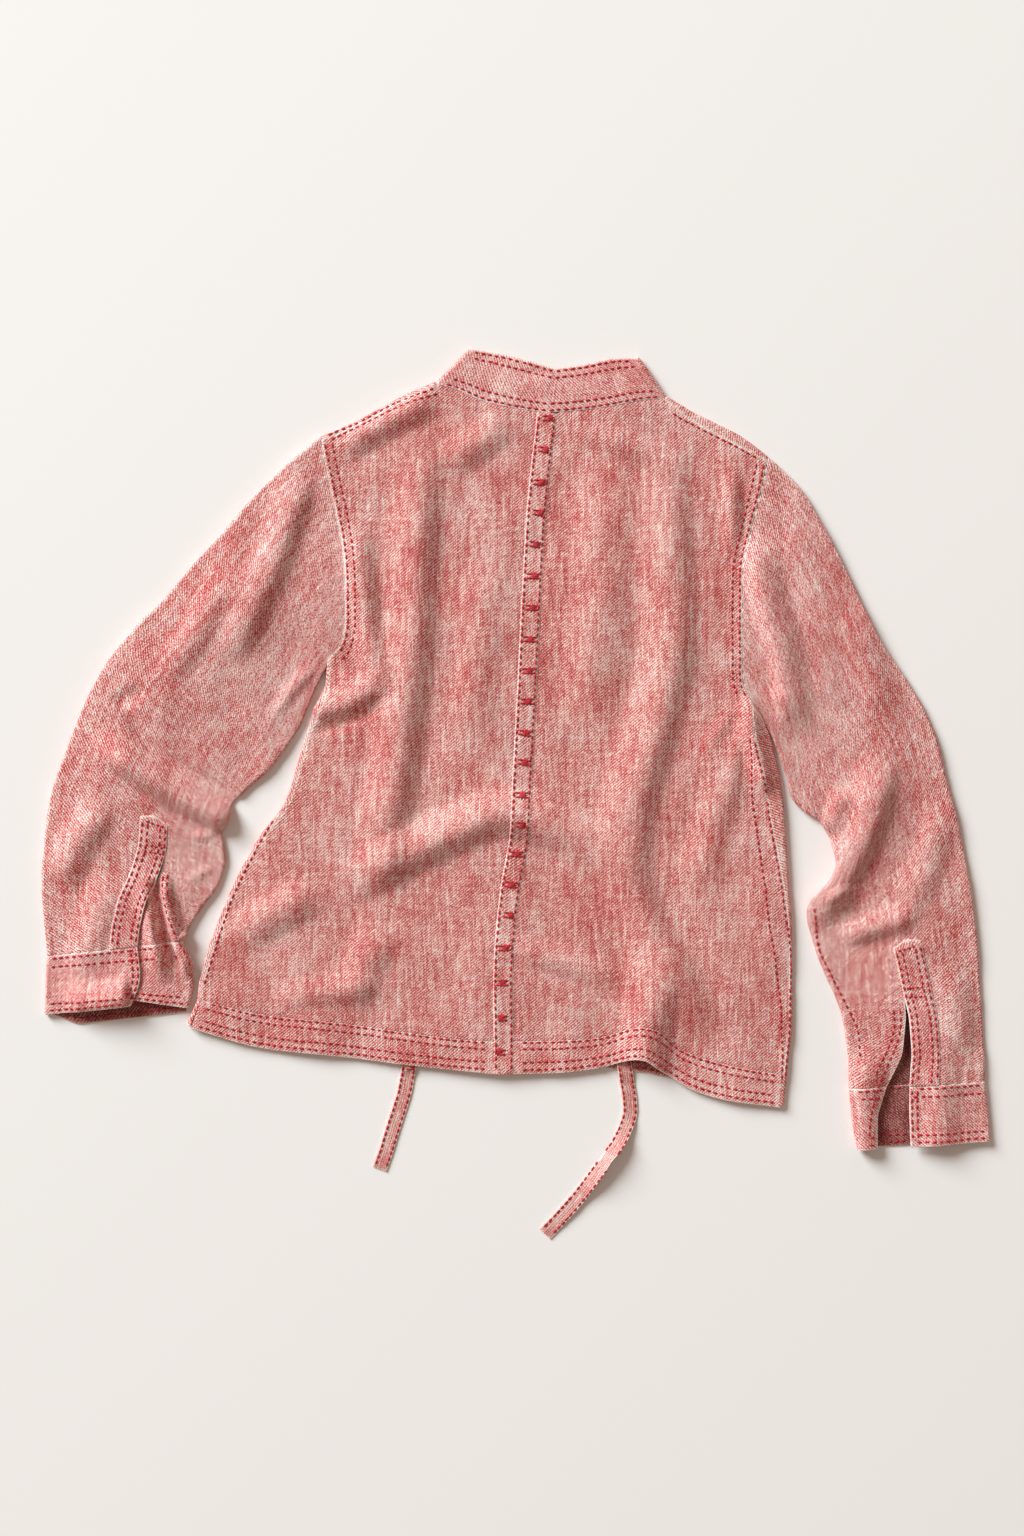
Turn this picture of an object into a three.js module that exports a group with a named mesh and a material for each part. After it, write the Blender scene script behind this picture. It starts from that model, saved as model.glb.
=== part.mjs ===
// A hip-length cotton jacket laid flat on a surface, its back uppermost.
// Millimetres. +X is the wearer's right, +Y points to the collar, +Z is up from the surface.
// Upper pieces (back, collar, strip) lie over the fronts, and each sleeve is one flattened tube.
import * as THREE from 'three';

// ---- driving sizes ----
const CLOTH = 1.2; // wall of a single layer of cloth
const TURNED = 1.8; // wall of cloth turned double: collar, cuffs and hem
const SEAM_GAP = 0.35; // daylight between two pieces that are sewn together
const LOFT = 4.8; // middle of the upper layer above the surface
const LEAST_LOFT = 2.9; // the upper layer never sinks below this
const STRIP_WIDTH = 18; // felled strip down the centre back
const TIE_WIDTH = 13.5;
const PLACKET_WIDTH = 26;
const SLIT_STEP = 1.6; // how far the two sides of a sleeve slit part in height
const ORIGIN = { x: -0.44, y: 0.12 }; // the middle of the jacket's plan box

// ---- how finely the pieces are divided ----
const NECK_COLUMNS = 5;
const SHOULDER_COLUMNS = 7;
const SIDE_ROWS = 17;
const FRONT_NECK_COLUMNS = 4;
const FLOOR_COLUMNS = 6; // lower layer of a sleeve, and the front's rows at the armhole
const CURL_STEPS = 3; // round a folded edge
const COLLAR_ROWS = 3;
const BAND_ROWS = 2;

// ---- the cut, left and right, read down the garment: x, y ----
// A shoulder or side seam has a third column, the lap: how far the front wraps over on to the back.
const CUT = {
  left: {
    mirror: 1,
    neck: [[28, 350], [-6, 355], [-34, 362], [-54, 371], [-72, 376]],
    shoulder: [[-72, 376, 0.8], [-106, 360, 1], [-143, 340, 1], [-179, 325, 0.8]],
    armhole: [[-179, 325], [-172, 289], [-164, 252], [-158, 215], [-157, 178], [-158, 149],
      [-163, 134], [-172, 125]],
    side: [[-172, 125, 0.8], [-173, 96, 1], [-190, 54, 1], [-199, 22, 1], [-210, -11, 1],
      [-236, -46, 1], [-256, -83, 1], [-275, -130, 1], [-288, -176, 1], [-289, -189, 1]],
    hemSeam: [[-21, -227], [-52, -225], [-107, -218], [-172, -209], [-236, -202], [-289, -189]],
    hemEdge: [[-21, -257], [-52, -254], [-107, -248], [-172, -240], [-236, -233], [-299, -215]],
    frontNeck: [[23, 285], [-6, 291], [-38, 309], [-61, 339], [-72, 376]],
    collarTop: [[35, 390], [12, 397], [-15, 404], [-41, 408]],
    collarFrontTop: [[22, 328], [3, 335], [-17, 355], [-32, 381], [-41, 408]],
  },
  right: {
    mirror: -1,
    neck: [[28, 350], [58, 352], [88, 356], [114, 361], [136, 363]],
    shoulder: [[136, 363, 0.8], [161, 343, 5], [202, 321, 5.5], [230, 306, 0.8]],
    armhole: [[230, 306], [221, 266], [214, 238], [208, 211], [207, 160], [207, 123], [208, 101],
      [215, 86]],
    side: [[215, 86, 0.8], [218, 54, 11], [224, 27, 12], [230, -6, 11.5], [236, -38, 8.5],
      [244, -79, 3], [249, -116, 1], [250, -162, 1], [250, -208, 1], [245, -258, 1]],
    hemSeam: [[-3, -227], [40, -226], [79, -223], [114, -213], [130, -217], [150, -234],
      [187, -247], [245, -258]],
    hemEdge: [[-3, -257], [40, -256], [79, -251], [114, -243], [134, -255], [160, -271],
      [187, -280], [242, -288]],
    frontNeck: [[23, 285], [58, 290], [95, 305], [123, 333], [136, 363]],
    collarTop: [[35, 390], [63, 394], [88, 399], [110, 400]],
    collarFrontTop: [[24, 328], [54, 335], [81, 353], [100, 376], [110, 400]],
  },
};
const CENTRE_BACK = [[28, 350], [19, 270], [14, 188], [9, 86], [5, 13], [2, -42], [-6, -88],
  [-12, -153], [-12, -227]];
const CENTRE_FRONT = [[23, 285], [14, 188], [9, 86], [2, -42], [-12, -227]];
const CENTRE_HEM = { x: -12, y: -257 };
const FRONT_HEM_RISE = 2.5; // the front hem stops this far short of the back hem

// ---- sleeves, one row for each ring from the armhole to the cuff's edge ----
// outer x, outer y, inner x, inner y: the two folded edges of the flattened tube.
const SLEEVE = {
  left: {
    rings: [
      [-182, 328, -174, 123], [-208, 307, -183, 103], [-238, 278, -193, 79],
      [-268, 243, -199, 63], [-296, 212, -207, 49], [-323, 180, -218, 33],
      [-348, 155, -230, 19], [-372, 126, -245, 6], [-388, 98, -256, -5],
      [-402, 66, -264, -16], [-414, 37, -271, -31], [-426, 4, -268, -50],
      [-432, -29, -267, -64], [-435, -61, -274, -85], [-436, -91, -286, -101],
      [-434, -122, -300, -121], [-432, -149, -310, -135], [-433, -176, -297, -167],
      [-434, -203, -301, -188]],
    apex: 12, // the ring where the slit begins
    cuff: 16, // the ring where the cuff is sewn on
    // place of the slit's two sides between the outer (0) and the inner (1) edge, below the apex
    slit: [[0.676, 0.676], [0.663, 0.67], [0.656, 0.59], [0.676, 0.58], [0.707, 0.6],
      [0.656, 0.56], [0.614, 0.52]],
    boxTop: 10.5, // ring at which the placket's stitched head ends
    // cuff edge: how far the lower layer and the tucked end run past the upper layer
    mouth: { floor: -12, tuckedOuter: 9, tuckedInner: -8 },
  },
  right: {
    rings: [
      [234, 308, 221, 90], [252, 293, 226, 83], [268, 273, 231, 70], [282, 247, 237, 54],
      [296, 220, 242, 36], [310, 191, 248, 16], [322, 163, 253, -4], [336, 137, 266, -17],
      [356, 109, 281, -27], [373, 81, 291, -47], [386, 50, 296, -62], [394, 17, 288, -80],
      [403, -17, 272, -98], [411, -52, 268, -116], [418, -93, 275, -144],
      [423, -130, 284, -167], [427, -180, 295, -192], [428, -201, 300, -208],
      [430, -236, 304, -236], [430, -250, 306, -252], [430, -264, 307, -270],
      [433, -291, 310, -295], [435, -319, 316, -326]],
    apex: 16,
    cuff: 20,
    slit: [[0.549, 0.549], [0.54, 0.558], [0.547, 0.61], [0.563, 0.667], [0.575, 0.746],
      [0.6, 0.842], [0.628, 0.895]],
    boxTop: 14.7,
    mouth: { floor: 1, tuckedOuter: 0, tuckedInner: 0 },
  },
};
const OUTER_COLUMNS = 5; // upper layer, from the outer edge to the placket
const PLACKET_COLUMNS = 2;
const INNER_COLUMNS = 5; // upper layer, from the inner edge to the slit
const ARMHOLE_PULL = [1, 0.8, 0.55, 0.3, 0.12]; // how much of the armhole's curve each ring keeps

// ---- folds of the upper layer: a crest line, its height and its two widths ----
// across: half-width left of the line and right of it, going along it. ends: run-in and run-out,
// as shares of the line.
const FOLDS = [
  { name: 'back, left of centre', height: 8, across: [24, 26], ends: [0.25, 0.4],
    line: [[-84, 326], [-91, 178], [-96, 68], [-116, -15]] },
  { name: 'back, beside the left armhole', height: 4, across: [14, 12], ends: [0.3, 0.3],
    line: [[-139, 234], [-137, 178], [-130, 123]] },
  { name: 'tuck under the left arm', height: 4.5, across: [11, 14], ends: [0.4, 0.2],
    line: [[-109, 98], [-153, 77], [-190, 64]] },
  { name: 'back, right of centre', height: 8, across: [26, 24], ends: [0.3, 0.3],
    line: [[138, 284], [144, 215], [141, 105], [123, 4], [106, -56]] },
  { name: 'back, low right', height: 5, across: [26, 22], ends: [0.3, 0.3],
    line: [[114, -70], [139, -121], [173, -176], [195, -208]] },
  { name: 'across the waist', height: 5.5, across: [20, 24], ends: [0.25, 0.25],
    line: [[-158, -93], [-80, -52], [-15, -28], [40, -44], [86, -70], [118, -111]] },
  { name: 'back, low left', height: 4, across: [20, 18], ends: [0.4, 0.4],
    line: [[-262, -137], [-181, -84]] },
  { name: 'up from the left hem', height: 4, across: [18, 18], ends: [0.3, 0.5],
    line: [[-158, -208], [-121, -130]] },
  { name: 'left shoulder', height: 4, across: [16, 18], ends: [0.4, 0.4],
    line: [[-160, 308], [-80, 348]] },
  { name: 'beside the neck', height: 3, across: [14, 16], ends: [0.4, 0.4],
    line: [[-57, 312], [-11, 345]] },
  { name: 'wave at the hem', height: 10, across: [22, 26], ends: [0.6, 0.02],
    line: [[127, -125], [121, -190], [114, -275]] },
  { name: 'back, right side', height: 4, across: [14, 14], ends: [0.4, 0.4],
    line: [[204, 54], [189, -29]] },
  { name: 'body of the left sleeve', height: 3.6, across: [62, 66], ends: [0.2, 0.02],
    line: [[-172, 252], [-273, 160], [-365, 50], [-369, -61], [-369, -226]] },
  { name: 'left sleeve, below the shoulder', height: 6, across: [20, 20], ends: [0.35, 0.35],
    line: [[-188, 300], [-213, 197], [-245, 128]] },
  { name: 'left upper arm', height: 3, across: [20, 20], ends: [0.4, 0.4],
    line: [[-277, 229], [-342, 155]] },
  { name: 'crease in the left elbow', height: -5, across: [11, 11], ends: [0.3, 0.1],
    line: [[-337, 109], [-367, 75], [-342, 54], [-310, 24], [-262, -6]] },
  { name: 'below the left elbow', height: 4.5, across: [16, 20], ends: [0.3, 0.3],
    line: [[-397, 45], [-337, 8], [-277, -22]] },
  { name: 'left forearm, outer', height: 4, across: [20, 22], ends: [0.4, 0.4],
    line: [[-379, 8], [-420, -52]] },
  { name: 'left forearm, middle', height: 4.5, across: [22, 24], ends: [0.4, 0.4],
    line: [[-346, -75], [-402, -167]] },
  { name: 'body of the right sleeve', height: 3.6, across: [60, 56], ends: [0.2, 0.02],
    line: [[224, 234], [288, 105], [334, -6], [348, -116], [367, -245], [376, -346]] },
  { name: 'right sleeve, by the armhole', height: 4, across: [14, 12], ends: [0.3, 0.4],
    line: [[224, 220], [231, 142], [244, 86]] },
  { name: 'right sleeve, inner elbow', height: 5, across: [22, 22], ends: [0.4, 0.4],
    line: [[334, 54], [327, -29], [288, -102]] },
  { name: 'right sleeve, outer elbow', height: 4.5, across: [22, 22], ends: [0.4, 0.4],
    line: [[390, -6], [367, -79], [334, -125]] },
  { name: 'right forearm', height: 4, across: [16, 16], ends: [0.3, 0.3],
    line: [[288, -139], [376, -111]] },
];

// ---- ties: x, y, height of the middle of the tape, tilt in degrees ----
const ON_FRONT = CLOTH + SEAM_GAP + CLOTH / 2; // lying on the inside of a front
const ON_HEM = TURNED + SEAM_GAP + CLOTH / 2; // lying over the front hem
const ON_FLOOR = CLOTH / 2;
const TIES = {
  left: [
    [-8, -120, ON_FRONT, 0], [-50, -75, ON_FRONT, 0], [-85, -105, ON_FRONT, 0],
    [-90, -160, ON_FRONT, 0], [-93, -200, ON_FRONT, 0], [-95, -214, ON_HEM, 0],
    [-98, -246, ON_HEM, 0], [-99, -250, ON_HEM, 0], [-101, -262, ON_FLOOR, 0],
    [-104, -277, ON_FLOOR, 0], [-113, -305, ON_FLOOR, 0], [-120, -328, ON_FLOOR, 0],
    [-126, -345, ON_FLOOR, 0]],
  right: [
    [4, -120, ON_FRONT, 0], [52, -160, ON_FRONT, 0], [86, -196, ON_FRONT, 0],
    [90, -210, ON_FRONT, 0], [93, -216, ON_HEM, 0], [99, -249, ON_HEM, 0],
    [100, -255, ON_HEM, 0], [102, -268, ON_FLOOR, 0], [104, -282, ON_FLOOR, 0],
    [104, -295, ON_FLOOR, 0], [99, -309, ON_FLOOR, 0], [92, -323, 2, 12],
    [83, -335, 5.6, 50], [74, -348, 2, 12], [54, -374, ON_FLOOR, 0], [26, -405, ON_FLOOR, 0]],
};

const COLOURS = {
  upper: 0xcd8e86, lower: 0xb97670, sleeve: 0xdb9d97, turned: 0xcd8b83, strip: 0xd09a90,
};

// ---- small helpers ----
const lerp = (a, b, t) => a + (b - a) * t;
const mix = (p, q, t) => ({ x: lerp(p.x, q.x, t), y: lerp(p.y, q.y, t) });
const moved = (p, d, by) => ({ x: p.x + d.x * by, y: p.y + d.y * by });
const unit = (v) => {
  const length = Math.hypot(v.x, v.y);
  return { x: v.x / length, y: v.y / length };
};
const between = (p, q) => unit({ x: q.x - p.x, y: q.y - p.y });
const spread = (count) => Array.from({ length: count + 1 }, (_, k) => k / count);

// A smooth line through a table's rows; the third column rides along as `lap`.
function lineThrough(rows) {
  const curve = new THREE.CatmullRomCurve3(
    rows.map(([x, y, lap = 0]) => new THREE.Vector3(x, y, lap)), false, 'centripetal');
  return {
    length: curve.getLength(),
    at(u) {
      const p = curve.getPointAt(u);
      const t = curve.getTangentAt(u);
      return { x: p.x, y: p.y, lap: p.z, along: unit(t) };
    },
  };
}

// Unit vector pointing off the cloth, for a line that runs down one side of the garment.
const outward = (along, mirror) => ({ x: mirror * along.y, y: -mirror * along.x });

// Where two folded edges meet, both end in the plane that halves the corner.
function mitre(a, b) {
  const scale = 1 / (1 + a.x * b.x + a.y * b.y);
  return { x: (a.x + b.x) * scale, y: (a.y + b.y) * scale };
}

// ---- height of the upper layer ----
const smooth = (t) => {
  const c = Math.min(1, Math.max(0, t));
  return c * c * (3 - 2 * c);
};

function prepared(fold) {
  const curve = new THREE.CatmullRomCurve3(
    fold.line.map(([x, y]) => new THREE.Vector3(x, y, 0)), false, 'centripetal');
  return { ...fold, points: curve.getSpacedPoints(6 * (fold.line.length - 1)) };
}
const folds = FOLDS.map(prepared);

function foldHeight(fold, x, y) {
  let best = { distance: Infinity };
  const last = fold.points.length - 1;
  for (let k = 0; k < last; k += 1) {
    const a = fold.points[k];
    const b = fold.points[k + 1];
    const dx = b.x - a.x;
    const dy = b.y - a.y;
    const t = Math.min(1, Math.max(0, ((x - a.x) * dx + (y - a.y) * dy) / (dx * dx + dy * dy)));
    const distance = Math.hypot(x - a.x - dx * t, y - a.y - dy * t);
    if (distance < best.distance) {
      const left = dx * (y - a.y) - dy * (x - a.x) > 0;
      best = { distance, left, along: (k + t) / last };
    }
  }
  const reach = best.distance / fold.across[best.left ? 0 : 1];
  if (reach >= 1) return 0;
  const ends = smooth(best.along / fold.ends[0]) * smooth((1 - best.along) / fold.ends[1]);
  return fold.height * ends * (1 - reach * reach) ** 2;
}

function upperHeight(x, y) {
  const z = folds.reduce((sum, fold) => sum + foldHeight(fold, x, y), LOFT);
  return LEAST_LOFT + Math.log1p(Math.exp(z - LEAST_LOFT));
}

// ---- wall points: the middle of the wall and the way out of it ----
const UP = new THREE.Vector3(0, 0, 1);
const DOWN = new THREE.Vector3(0, 0, -1);
const upper = (p, raise = 0) => ({
  middle: new THREE.Vector3(p.x, p.y, upperHeight(p.x, p.y) + raise), out: UP,
});
const lower = (p, wall) => ({ middle: new THREE.Vector3(p.x, p.y, wall / 2), out: DOWN });

// Radius of a folded edge that joins the lower layer to the upper one at p.
const foldRadius = (p, wall) => (upperHeight(p.x, p.y) - wall / 2) / 2;

// A point round a folded edge: turn 0 is the lower layer, 1 the upper one.
function curled(p, way, turn, wall) {
  const radius = foldRadius(p, wall);
  const angle = (turn - 0.5) * Math.PI;
  const out = new THREE.Vector3(way.x * Math.cos(angle), way.y * Math.cos(angle), Math.sin(angle));
  const middle = new THREE.Vector3(p.x, p.y, wall / 2 + radius).addScaledVector(out, radius);
  return { middle, out };
}

// ---- closed walls ----
// Turns quads between wall points into one closed solid, `wall` thick.
function wallSolid(points, quads, wall) {
  const ids = new Map();
  const positions = [];
  const faces = [];
  for (const [key, { middle, out }] of points) {
    ids.set(key, positions.length / 3);
    const over = middle.clone().addScaledVector(out, wall / 2);
    const under = middle.clone().addScaledVector(out, -wall / 2);
    positions.push(over.x, over.y, over.z, under.x, under.y, under.z);
  }
  const edges = new Set();
  for (const quad of quads) {
    const [a, b, c, d] = quad.map((key) => ids.get(key));
    faces.push(a, b, c, a, c, d);
    faces.push(a + 1, c + 1, b + 1, a + 1, d + 1, c + 1);
    [[a, b], [b, c], [c, d], [d, a]].forEach(([p, q]) => edges.add(`${p} ${q}`));
  }
  for (const edge of edges) {
    const [p, q] = edge.split(' ').map(Number);
    if (!edges.has(`${q} ${p}`)) faces.push(q, p, p + 1, q, p + 1, q + 1);
  }
  const geometry = new THREE.BufferGeometry();
  geometry.setAttribute('position', new THREE.Float32BufferAttribute(positions, 3));
  geometry.setIndex(signedVolume(positions, faces) < 0 ? faces.reverse() : faces);
  geometry.computeVertexNormals();
  return geometry;
}

function signedVolume(positions, faces) {
  const at = (id) => new THREE.Vector3().fromArray(positions, 3 * id);
  let six = 0;
  for (let k = 0; k < faces.length; k += 3) {
    six += at(faces[k]).dot(at(faces[k + 1]).cross(at(faces[k + 2])));
  }
  return six / 6;
}

const jacket = new THREE.Group();

function addPiece(name, geometry, colour) {
  const material = new THREE.MeshStandardMaterial({ color: colour, roughness: 0.9, metalness: 0 });
  const mesh = new THREE.Mesh(geometry, material);
  mesh.name = name;
  jacket.add(mesh);
}

// A sheet over rows and columns; `at` gives a wall point, or nothing where the sheet has none.
function sheet(name, [firstRow, lastRow], [firstColumn, lastColumn], wall, colour, at) {
  const points = new Map();
  for (let i = firstRow; i <= lastRow; i += 1) {
    for (let j = firstColumn; j <= lastColumn; j += 1) {
      const point = at(i, j);
      if (point) points.set(`${i} ${j}`, point);
    }
  }
  const quads = [];
  for (let i = firstRow; i < lastRow; i += 1) {
    for (let j = firstColumn; j < lastColumn; j += 1) {
      const quad = [`${i} ${j}`, `${i} ${j + 1}`, `${i + 1} ${j + 1}`, `${i + 1} ${j}`];
      if (j < 0) quad.push(quad.shift()); // left of the centre a quad is cut the other way
      if (quad.every((key) => points.has(key))) quads.push(quad);
    }
  }
  addPiece(name, wallSolid(points, quads, wall), colour);
}

// A tube over rings; it is closed round down to `closedTo` and slit beyond it.
function tube(name, [firstRing, lastRing], columns, closedTo, wall, colour, at) {
  const points = new Map();
  const keyOf = (i, j) => (j === columns && i <= closedTo ? `${i} 0` : `${i} ${j}`);
  for (let i = firstRing; i <= lastRing; i += 1) {
    for (let j = 0; j <= columns; j += 1) {
      if (!points.has(keyOf(i, j))) points.set(keyOf(i, j), at(i, j));
    }
  }
  const quads = [];
  for (let i = firstRing; i < lastRing; i += 1) {
    for (let j = 0; j < columns; j += 1) {
      quads.push([keyOf(i, j), keyOf(i, j + 1), keyOf(i + 1, j + 1), keyOf(i + 1, j)]);
    }
  }
  addPiece(name, wallSolid(points, quads, wall), colour);
}

// ---- sleeve layout, shared with the armholes ----
const PLACKET_END = PLACKET_COLUMNS;
const OUTER_END = PLACKET_END + OUTER_COLUMNS;
const FLOOR_START = OUTER_END + CURL_STEPS;
const FLOOR_END = FLOOR_START + FLOOR_COLUMNS;
const INNER_START = FLOOR_END + CURL_STEPS;
const SLEEVE_COLUMNS = INNER_START + INNER_COLUMNS;

function slitAt(sleeve, ring) {
  const row = Math.max(0, ring - sleeve.apex);
  const [placketSide, farSide] = sleeve.slit[row];
  return { placketSide, farSide };
}

// Share of the way from the outer to the inner edge for a column of the upper layer.
function upperShare(sleeve, ring, column, width) {
  const { placketSide, farSide } = slitAt(sleeve, ring);
  const placketEdge = placketSide - PLACKET_WIDTH / width;
  if (column <= PLACKET_END) return lerp(placketSide, placketEdge, column / PLACKET_COLUMNS);
  if (column <= OUTER_END) return lerp(placketEdge, 0, (column - PLACKET_END) / OUTER_COLUMNS);
  return lerp(1, farSide, (column - INNER_START) / INNER_COLUMNS);
}

const CORNER_INSET = foldRadius({ x: 0, y: 1e4 }, CLOTH) + CLOTH / 2;

function ringEnds(sleeve, ring) {
  const [outerX, outerY, innerX, innerY] = sleeve.rings[ring];
  const outer = { x: outerX, y: outerY };
  const inner = { x: innerX, y: innerY };
  const across = between(outer, inner);
  return {
    outer: moved(outer, across, CORNER_INSET),
    inner: moved(inner, across, -CORNER_INSET),
    across,
    width: Math.hypot(innerX - outerX, innerY - outerY) - 2 * CORNER_INSET,
  };
}

// The armhole's shares where the back meets the upper layer of the sleeve.
function armholeShares(sleeve, armhole) {
  const shares = [];
  for (let j = OUTER_END; j > 0; j -= 1) shares.push(upperShare(sleeve, 0, j, armhole.length));
  for (let j = SLEEVE_COLUMNS; j >= INNER_START; j -= 1) {
    shares.push(upperShare(sleeve, 0, j, armhole.length));
  }
  return shares;
}

// ---- body ----
function bodyHalf(side) {
  const cut = CUT[side];
  const sleeve = SLEEVE[side];
  const { mirror } = cut;
  const lines = {};
  for (const name of ['neck', 'shoulder', 'armhole', 'side', 'frontNeck', 'collarTop',
    'collarFrontTop']) {
    lines[name] = lineThrough(cut[name]);
  }
  const first = ringEnds(sleeve, 0);
  const tipWay = mitre(outward(lines.shoulder.at(1).along, mirror),
    { x: -first.across.x, y: -first.across.y });
  const underarmWay = mitre(outward(lines.side.at(0).along, mirror), first.across);
  const neckFold = between(lines.neck.at(1), lines.collarTop.at(1));
  const collarWay = { x: -mirror * neckFold.y, y: mirror * neckFold.x };
  const neckWay = mitre(outward(lines.shoulder.at(0).along, mirror), collarWay);
  return { cut, sleeve, mirror, lines, first, tipWay, underarmWay, collarWay, neckWay };
}

const halves = { left: bodyHalf('left'), right: bodyHalf('right') };
const centreBack = lineThrough(CENTRE_BACK);
const centreFront = lineThrough(CENTRE_FRONT);

// Fills a four-sided outline given by its edges' points, read down and outwards.
function patch(top, bottom, inner, outer, u, v) {
  const columns = top.length - 1;
  return (i, j) => {
    const blend = (axis) => {
      const sides = lerp(inner[i][axis], outer[i][axis], u[j]);
      const ends = lerp(top[j][axis], bottom[j][axis], v[i]);
      const corners = lerp(lerp(top[0][axis], top[columns][axis], u[j]),
        lerp(bottom[0][axis], bottom[columns][axis], u[j]), v[i]);
      return sides + ends - corners;
    };
    return { x: blend('x'), y: blend('y') };
  };
}

// Running length along a row of points, as a share of the whole.
function shares(points) {
  const sums = [0];
  for (let k = 1; k < points.length; k += 1) {
    sums.push(sums[k - 1] + Math.hypot(points[k].x - points[k - 1].x,
      points[k].y - points[k - 1].y));
  }
  return sums.map((sum) => sum / sums[sums.length - 1]);
}

const replaceEnds = (rows, start, end) => {
  const inside = rows.slice(1, -1);
  return [[start.x, start.y], ...inside, [end.x, end.y]];
};

// The outer edge of a back panel: its armhole, then its side seam.
function backEdge(side) {
  const { sleeve, lines } = halves[side];
  const armhole = armholeShares(sleeve, lines.armhole).map((u) => lines.armhole.at(u));
  return [...armhole, ...spread(SIDE_ROWS).slice(1).map((u) => lines.side.at(u))];
}
const backEdges = { left: backEdge('left'), right: backEdge('right') };
const backShares = { left: shares(backEdges.left), right: shares(backEdges.right) };

// Both halves share the rows of the centre seam.
const centreRows = backShares.left.map((share, i) => (
  centreBack.at((share + backShares.right[i]) / 2)));

// The back panel's plan, its hem band below it and the columns next to the strip.
function backPlan(side) {
  const { cut, mirror, lines } = halves[side];
  const outer = backEdges[side];
  const v = backShares[side];
  const centre = centreRows;
  const stripEdge = centre.map((p) => moved(p, outward(p.along, mirror), STRIP_WIDTH / 2));
  const neckStart = STRIP_WIDTH / 2 / lines.neck.length;
  const neck = spread(NECK_COLUMNS).slice(1).map((u) => lines.neck.at(lerp(neckStart, 1, u)));
  const shoulder = spread(SHOULDER_COLUMNS).slice(1).map((u) => lines.shoulder.at(u));
  const top = [stripEdge[0], ...neck, ...shoulder];
  const u = shares(top);
  const rows = v.length - 1;
  const hemSeam = lineThrough(replaceEnds(cut.hemSeam, stripEdge[rows], outer[rows]));
  const hemEdge = lineThrough(cut.hemEdge);
  const bottom = u.map((share) => hemSeam.at(share));
  const inside = patch(top, bottom, stripEdge, outer, u, v);
  const columns = top.length;
  const plan = (i, j) => {
    if (i <= rows) return j === 0 ? centre[i] : inside(i, j - 1);
    const end = j === 0 ? CENTRE_HEM : hemEdge.at(u[j - 1]);
    return mix(plan(rows, j), end, (i - rows) / BAND_ROWS);
  };
  return { plan, rows, columns };
}

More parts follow.
